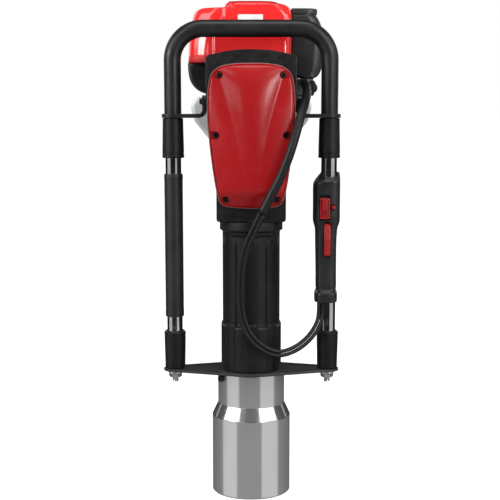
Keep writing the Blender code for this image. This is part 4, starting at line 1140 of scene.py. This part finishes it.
def build_throttle_grip():
    heights = sorted({row[0] for row in GRIP_SECTIONS} | {303 + 199.4 * i / 80 for i in range(81)})
    rings = []
    for height in heights:
        cx, half_width, cy, half_depth = grip_section(height)
        ring = []
        for x, y in superellipse((cx, cy), half_width, half_depth, 3.2):
            dip = 8.0 * ramp(height, 486, 502) * ramp(-y, 2, 19)
            ring.append((x, y, height - dip))
        rings.append(ring)
    grip = skin(rings)
    cut(grip, rod((FRAME_X, 0), ROD_R + 0.3, 290, 520, segments=64))
    lead_x, lead_y, _ = LEAD_ROUTE[0]
    for offset in (-LEAD_SPACING, LEAD_SPACING):
        cut(grip, rod((lead_x + offset, lead_y), LEAD_R + 0.7, 295, 316, segments=32))
    x = TRIGGER[0]
    cut(grip, rounded_slab(rounded_rectangle((x, 400.2), 5.5, 28.2, 5.2), -40, -13.2, 0.4, steps=1))
    cut(grip, rounded_slab(rounded_rectangle((x, 396), 5.5, 30, 5.2), 13.6, 40, 0.4, steps=1))
    x, z = SWITCH
    cut(grip, rounded_slab(rounded_rectangle((x, z + 1.5), 8.5, 19.3, 2.6), -40, -14.5, 0.4, steps=1))
    cut(grip, rod(BUTTON, 3.4, -40, -15, "Y"))
    cut(grip, turned([(0, -30), (5.2, -30), (5.2, -21.6), (3.4, -20.6), (0, -20.6)], BUTTON, "Y", 40))
    piece("grip_right", grip, "handle", "grip_plastic", "throttle_grip", sharp=38)
    heads = []
    for z in (340, 482):
        centre_x, half_width, _, _ = grip_section(z)
        heads.append(screw((centre_x + half_width - 1.2, 6, z), (1, 0, 0), 2.6, 1.4, 4, 0.45))
    piece("grip_screws", grouped(heads), "handle", "zinc")


def build_controls():
    x, y, z = TRIGGER
    side_view = [
        (y - 3, z + 3.5), (y + 1.8, z + 3.5), (y + 1.8, z - 6), (-20.5, z - 22), (-22, z - 44), (-25, z - 47),
        (-27.5, z - 44), (-27.2, z - 20), (-23.5, z - 4),
    ]
    trigger = rounded_slab(eased(side_view, 2.5), x - 4.9, x + 4.9, 1.6, "X", 4)
    piece("trigger_lever", trigger, "trigger", "control_red", "throttle_trigger")

    x, y, z = LOCKOUT
    side_view = [
        (y + 3, z + 3.5), (y - 4, z + 3.5), (y - 4, z - 6), (y + 2, z - 24), (y + 3.5, z - 48), (y + 6.5, z - 50),
        (y + 8, z - 46), (y + 6.5, z - 20),
    ]
    lockout = rounded_slab(eased(side_view, 2), x - 4.9, x + 4.9, 1.4, "X", 4)
    piece("lockout_paddle", lockout, "lockout", "grip_plastic", "lockout_lever")

    x, z = SWITCH
    outline = rounded_rectangle((x, z), 7.9, 16.1, 2.4)
    switch = layered(outline, [(-14.9, 0), (-21.9, 0), (-22.9, 0.3), (-23.4, 1.0), (-23.4, 2.4), (-22.6, 2.9)])
    knob = rounded_slab(rounded_rectangle((x, z + 5.4), 4.6, 8.2, 1.6), -26, -22, 0.9, steps=3)
    ridges = [rounded_slab(rounded_rectangle((x, z - 4.8 - 2.6 * i), 4.4, 0.8, 0.5, 2), -24.4, -22, 0.4, steps=2)
              for i in range(3)]
    slider = grouped([switch, knob, *ridges])
    piece("switch_slider", slider, "switch", "control_red", "stop_switch")
    profile = [(0, -25.5), (2.4, -25.5, 0.8), (3, -24.7, 0.6), (3, -18), (0, -18)]
    button = turned(eased(profile, 0.2), BUTTON, "Y", 40)
    piece("lock_button", button, "button", "control_red", "throttle_lock_button")


# ---------------------------------------------------------------- cables

LEAD_ROUTE = [
    (107.5, -17, 302.7), (107.5, -17, 288), (104, -21, 271), (92, -29, 253), (75, -38, 239),
    (56, -46, 231), (38, -52, 230), (18, -56, 239), (0, -58, 256), (-11.5, -57, 279),
    (-16, -56, 308), (-16, -56, 339), (-13, -58, 369), (-6, -62, 397), (5, -67, 421), (16, -71, 445),
]
CONDUIT_ROUTE = [
    (16.3, -71.1, 445.6), (30, -74, 473), (44, -76, 501), (56, -76, 531), (65, -71, 560), (72, -58, 584),
    (79, -34, 604), (84, -4, 619), (85, 28, 630), (83.4, 52, 636.4), (83, 66.6, 637),
]


def beside_route(route, offset, steps):
    """The route moved sideways, square to its run as seen from the front."""
    centre = smooth_through(route, steps)
    result = []
    for i, point in enumerate(centre):
        run = centre[min(i + 1, len(centre) - 1)] - centre[max(i - 1, 0)]
        sideways = Vector((-run.z, 0, run.x)).normalized()
        result.append(point + offset * sideways)
    return result


def build_cables():
    for name, node, side in (("throttle_lead", "throttle_cable", -1), ("stop_lead", "switch_lead", 1)):
        points = beside_route(LEAD_ROUTE, side * LEAD_SPACING, 5)
        tube = soft_tube(name, points, LEAD_R, 24, node, "cable_black")
        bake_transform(tube)
    points = smooth_through(CONDUIT_ROUTE, 6)[::-1]
    tube = soft_tube("conduit", points, CONDUIT_R, 24, "cable_conduit", "cable_black")
    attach(tube, "machine")


# ---------------------------------------------------------------- engine

STARTER_R = 62.0
FILLER = (76.0, 157.0)
STEP_DEPTH = 3.2
STEP_HALF_WIDTH = 3.0
LEFT_CORNER = [  # width and depth from where the flat front ends
    (0, 0), (5, 1.0), (11.5, 4.0), (18, 7.5), (26, 14.7), (31, 23.3), (33, 33),
]


def plan_loop(left, right, front, back, corner_left, corner_right, height, step_x):
    """The shroud seen from above at a height. Left of step_x its front lies back by a step, and corner_left
    is the share of the full size that its broad front left corner has."""
    outline = arc((right - corner_right, front + corner_right), corner_right, 0, -90, 12)
    corner = [Vector(point) * corner_left for point in LEFT_CORNER]
    step_x = max(step_x, left + corner[-1].x + STEP_HALF_WIDTH + 2)
    start = step_x + STEP_HALF_WIDTH
    outline += [(right - corner_right + (start - right + corner_right) * k / 8, front) for k in range(1, 9)]
    outline += [(start - 2 * STEP_HALF_WIDTH * k / 10, front + STEP_DEPTH * ramp(k, 0, 10)) for k in range(1, 11)]
    for point in smooth_through([(x, y, 0) for x, y in corner], 4):
        outline.append((left + corner[-1].x - point.x, front + STEP_DEPTH + point.y))
    back_r = 12.0
    outline += arc((left + back_r, back - back_r), back_r, 180, 90, 8)
    outline += arc((right - back_r, back - back_r), back_r, 90, 0, 8)
    return [(x, y, height) for x, y in outline]


def build_shroud():
    low, high = span("engine_shroud")
    left, right, front, back = low.x, high.x, low.y, high.y
    rows = [  # height, left, right, how far the front and the back lie in
        (low.z, left, right, 0), (low.z + 12, left + 0.3, right, 0), (697, left + 1, right, 0),
        (712, left + 2.8, right, 0), (722, left + 4.3, right, 0), (730, left + 5.8, right, 0),
        (736, left + 7.2, right, 0.2), (740, left + 8.3, right, 0.4), (743.5, left + 9.6, right, 0.8),
        (746.6, left + 11.4, right - 0.3, 1.2), (749.2, left + 14, right - 0.9, 1.8),
        (751.1, left + 17.4, right - 1.8, 2.2), (752, left + 21, right - 2.4, 2.4),
        (752.1, -43, right - 2.5, 2.4), (752.3, -41.6, right - 2.6, 2.4), (753, -41.2, right - 3.2, 2.4),
        (755, -40.4, right - 5.4, 2.5), (756.6, -39.4, right - 9, 3.0), (758, -38.4, right - 14, 4.2),
        (759.2, -37.2, right - 18.5, 6.2), (760.2, -36, right - 21, 9), (761.2, -35, right - 22.5, 13),
        (762.4, -34, right - 24, 19), (763.2, -33, right - 25.5, 26), (high.z - 0.5, -31, right - 28, 34),
    ]
    rings = []
    for height, at_left, at_right, lean in rows:
        corner_left = 1.0 if height < 752.05 else 0.2
        step_x = -58 + 16 * ramp(height, 722, 740)
        corner_right = 13 + 12 * ramp(height, 732, 757)
        ends = (front + lean, back - lean * 0.5)
        rings.append(plan_loop(at_left, at_right, *ends, corner_left, corner_right, height, step_x))
    shell = skin(rings, foot=False)
    piece("shroud_shell", shell, "machine", "shroud_red", "engine_shroud", sharp=50)
    wall = shell.modifiers.new("wall", "SOLIDIFY")
    wall.thickness = 2.2 * MM
    wall.offset = -1
    label = rounded_slab(rounded_rectangle((-1.2, 733.4), 19.3, 7.5, 1.5), front - 0.3, front + 1.5, 0.2, steps=1)
    piece("shroud_label", label, "machine", "label_pale")


def build_tank():
    low, high = span("fuel_tank")
    half, bottom = high.x, low.z
    right = [
        (0, 578, 2), (52, 578, 7), (59, 585, 7), (61.5, 610, 7), (68, 616, 7), (86, 616, 9), (half, 604, 12),
        (90, 580, 14), (72, 557, 16), (56, bottom, 12), (0, bottom, 0),
    ]
    tank = rounded_slab(mirrored(eased(right, 3, 7, closed=False)), low.y, high.y, 6.5, steps=7)
    profile = [(0, 606), (15, 606), (15, 628, 0.8), (12.5, 628, 0.5), (12.5, 610), (0, 610)]
    neck = turned(eased(profile, 0.4), FILLER, segments=64)
    piece("tank_shell", grouped([tank, neck]), "machine", "tank_white", "fuel_tank", sharp=60)
    cap_low, cap_high = span("fuel_cap")
    cap_r = (cap_high.x - cap_low.x) / 2
    rows = [  # height, radius, depth of the knurling
        (cap_low.z, cap_r - 0.6, 0), (cap_low.z + 0.6, cap_r, 1), (cap_high.z - 3.6, cap_r, 1),
        (cap_high.z - 1.8, cap_r - 0.8, 0.6), (cap_high.z - 0.5, cap_r - 2.6, 0), (cap_high.z, cap_r - 5, 0),
        (cap_high.z - 0.8, cap_r - 6.2, 0),
    ]
    rings = []
    for height, radius, knurl in rows:
        ring = []
        for i in range(144):
            turn = 2 * math.pi * i / 144
            reach = radius - 0.7 * knurl * (0.5 - 0.5 * math.cos(24 * turn))
            ring.append((*polar(FILLER, reach, turn), height))
        rings.append(ring)
    cap = cut(skin(rings), rod(FILLER, 16, cap_low.z - 3, cap_high.z - 5, segments=64))
    bar = rounded_slab(rounded_rectangle(FILLER, cap_r - 7, 2.4, 2.2), cap_high.z - 3, cap_high.z, 0.7, "Z")
    piece("fuel_cap_knob", grouped([cap, bar]), "fuel_cap", "grip_plastic", "fuel_cap")


def build_guard():
    low, high = span("muffler_guard")
    left = low.x
    bowl = [
        (left, high.z), (left + 0.4, 657), (left + 3, 643), (left + 9, 632.5), (left + 18, 625), (left + 29, 621),
        (left + 40, low.z), (high.x, low.z),
    ]
    outline = [(high.x, high.z)] + [tuple(point) for point in smooth_through(bowl, 5)]
    guard = rounded_slab(outline, low.y, high.y, 5.5, steps=6)
    inside = inset(outline, 2.4)
    inside = [(x + (8 if x > high.x - 4 else 0), z + (8 if z > high.z - 4 else 0)) for x, z in inside]
    cut(guard, prism(inside, low.y + 4, high.y - 2.5), rod((-74, 645), 8, high.y - 10, high.y + 10, "Y"))
    for y in range(int(low.y) + 16, int(high.y) - 8, 11):
        vent = rounded_slab(rounded_rectangle((y, 655), 2.4, 9, 2.3), low.x - 5, low.x + 6, 0.2, "X", 1)
        cut(guard, vent)
    piece("guard_shell", guard, "machine", "grip_plastic", "muffler_guard", sharp=38)


FILTER_SIDE = [
    (645, 99), (648, 104), (654, 108.6), (662, 111.2), (680, 113.4), (698, 114), (712, 113.2), (724, 110.6),
    (734, 106.6), (741, 102.2),
]


def build_filter_cover():
    """A bulged air filter cover with a lid that stands a little proud of it."""
    low, high = span("air_filter_cover")
    left, front, back = low.x, low.y, high.y
    rows = [(645, 83.0, 97.0, 5.0), (645.6, 82.0, 98.6, 3.2)]
    rows += [(z, max(left, 82 - 1.9 * (z - 645)), between(FILTER_SIDE, z), 0) for z in (647, 649, 652, 655)]
    rows += [(z, left, between(FILTER_SIDE, z), 0) for z in range(660, 741, 5)]
    rows += [(741, left, 101.6, 0.6), (741.6, left, 100.2, 1.8), (743.4, left, 100.2, 1.8), (744, left, 103.2, 0.4),
             (749, left, 103.8, 0.2), (751, left, 103, 0.9), (high.z, left, 101, 3.0)]
    rings = []
    for z, at_left, at_right, lean in rows:
        corner = min(17.0, (at_right - at_left) * 0.45)
        corner_left = min(3.0, corner)
        ring = arc((at_right - corner, front + lean + corner), corner, 0, -90, 12)
        ring += arc((at_left + corner_left, front + lean + corner_left), corner_left, -90, -180, 4)
        ring += arc((at_left + corner_left, back - lean - corner_left), corner_left, 180, 90, 4)
        ring += arc((at_right - corner, back - lean - corner), corner, 90, 0, 12)
        rings.append([(x, y, z) for x, y in ring])
    cover = skin(rings)
    inside = [(50, 660), (82, 649), (97, 649), (104, 655), (110, 668), (111, 698), (107, 722), (98, 738), (50, 738)]
    cut(cover, prism(eased(inside, 3), front + 8, back - 4))
    for i in range(4):
        slot = rounded_rectangle(((front + back) / 2, 674 + 13 * i), 22, 2.2, 2.1)
        cut(cover, rounded_slab(slot, 112, 120, 0.2, "X", 1))
    piece("filter_cover_shell", cover, "machine", "filter_plastic", "air_filter_cover", sharp=38)


def build_fuel_controls():
    low, high = span("choke_lever")
    x, z = (low.x + high.x) / 2, high.z - 5
    outline = arc((x, low.z + 3), 3, 190, 350, 10) + arc((x, z), 5, -10, 190, 16)
    lever = rounded_slab(outline, low.y, high.y, 0.7, steps=3)
    piece("choke_arm", lever, "choke", "grip_plastic", "choke_lever")
    low, high = span("primer_bulb")
    at = ((low.y + high.y) / 2, (low.z + high.z) / 2)
    radius = (high.y - low.y) / 2
    x = low.x
    profile = [(0, x), (radius, x), (radius, x + 1.6), (radius - 1.2, x + 2)]
    for degrees in range(0, 90, 9):
        lean = math.radians(degrees)
        profile.append((7.6 * math.cos(lean), x + 2 + (high.x - x - 2) * math.sin(lean)))
    bulb = turned(profile + [(0, high.x)], at, "X", 56)
    piece("primer_dome", bulb, "primer", "damper_rubber", "primer_bulb")


def build_starter():
    low, high = span("starter_cover")
    front, back = low.y, high.y
    radius, wall = STARTER_R, 2.5
    profile = [
        (radius - wall, front), (radius, front, 0.6), (radius, back - 13, 8), (radius - 14, back, 8),
        (20, back, 1), (18.6, back - 1.6, 0.6), (0, back - 1.6), (0, back - 4), (radius - 16, back - 3.4, 6),
        (radius - wall, back - 14, 6),
    ]
    cover = turned(eased(profile, 0.4), (0, ENGINE_Z), "Y", 120)
    rope = span("starter_grip")
    rope_y, rope_z = (rope[0].y + rope[1].y) / 2, (rope[0].z + rope[1].z) / 2
    guide = eased([(0, 52), (8, 52), (8, radius, 1.5), (0, radius)], 0.4)
    join(cover, turned(guide, (rope_y, rope_z), "X", 48))
    cut(cover, rod((rope_y, rope_z), 3, 30, radius + 5, "X", 32))
    slots = 14
    for i in range(slots):
        slot = rounded_slab(rounded_rectangle((0, 0), 2.5, 11.5, 2.4, 4), back - 8, back + 4, 0.2, steps=1)
        turn = Matrix.Translation((0, 0, ENGINE_Z)) @ Matrix.Rotation(2 * math.pi * i / slots, 4, "Y")
        cut(cover, moved(slot, turn @ Matrix.Translation((0, 0, 35))))
    piece("starter_housing", cover, "machine", "grip_plastic", "starter_cover", sharp=35)
    corners = arc((0, ENGINE_Z), (radius - 5) * 0.9, 45, 315, 3)
    heads = [screw((x, back - 4.4, z), (0, 1, 0), 3.2, 2.2) for x, z in corners]
    piece("starter_screws", grouped(heads), "machine", "zinc")

    sections = [  # distance from the cover, half-height across and half-thickness
        (1, 8.2, 6.2), (2.5, 9.4, 7.2), (6, 11, 7.6), (8.5, 15, 7.8), (11, 20, 8), (14, 21.8, 8), (18, 22, 8),
        (20.2, 21.2, 7.2), (21, 19, 5.4),
    ]
    rings = []
    for away, half, thick in sections:
        section = rounded_rectangle((rope_y, rope_z), half, thick, min(thick, half) * 0.75, 8)
        rings.append([(radius + away, y, z) for y, z in section])
    piece("pull_handle", skin(rings), "starter_grip", "grip_rubber", "starter_grip")
    rope_run = swept([(-46 + (radius + 51) * i / 24, rope_y, rope_z) for i in range(25)], 1.5, sides=20)
    piece("pull_rope", rope_run, "starter_grip", "filter_foam")


CAST_NODES = {  # material of the CAD nodes whose shape is right as it is
    "plain_steel": (
        "cylinder_liner", "crank_bearing", "pinion_bearing", "crank_gear", "ram", "anvil", "anvil_stop_ring",
        "clutch_drum", "crankshaft",
    ),
    "cast_metal": (
        "clutch_shoes", "connecting_rod", "piston", "flywheel", "clutch_housing", "crankcase", "engine_cylinder",
        "carburettor",
    ),
    "muffler_steel": ("muffler",),
    "ignition_white": ("spark_plug",),
    "damper_rubber": ("buffer_ring",),
    "grip_plastic": ("starter_reel",),
    "filter_foam": ("air_filter_element",),
}
SOFT_NODES = ("crankcase", "engine_cylinder", "carburettor", "muffler", "anvil", "clutch_housing")


def finish_cad_nodes():
    """The CAD nodes that stay get their material, and eased edges where they are cast."""
    for material, names in CAST_NODES.items():
        for name in names:
            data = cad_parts[name].data
            data.materials.clear()
            data.materials.append(MATERIALS[material])
    for name in SOFT_NODES:
        soften(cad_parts[name], 0.8, 40)


build_camera()
build_lights()
build_floor()
build_cables()
build_sleeve()
build_bracket()
build_barrel()
build_gear_case()
build_gasket()
build_gear_cover()
build_loop()
build_rods()
build_left_grip()
build_dampers()
build_throttle_grip()
build_controls()
build_shroud()
build_tank()
build_guard()
build_filter_cover()
build_fuel_controls()
build_starter()
finish_cad_nodes()
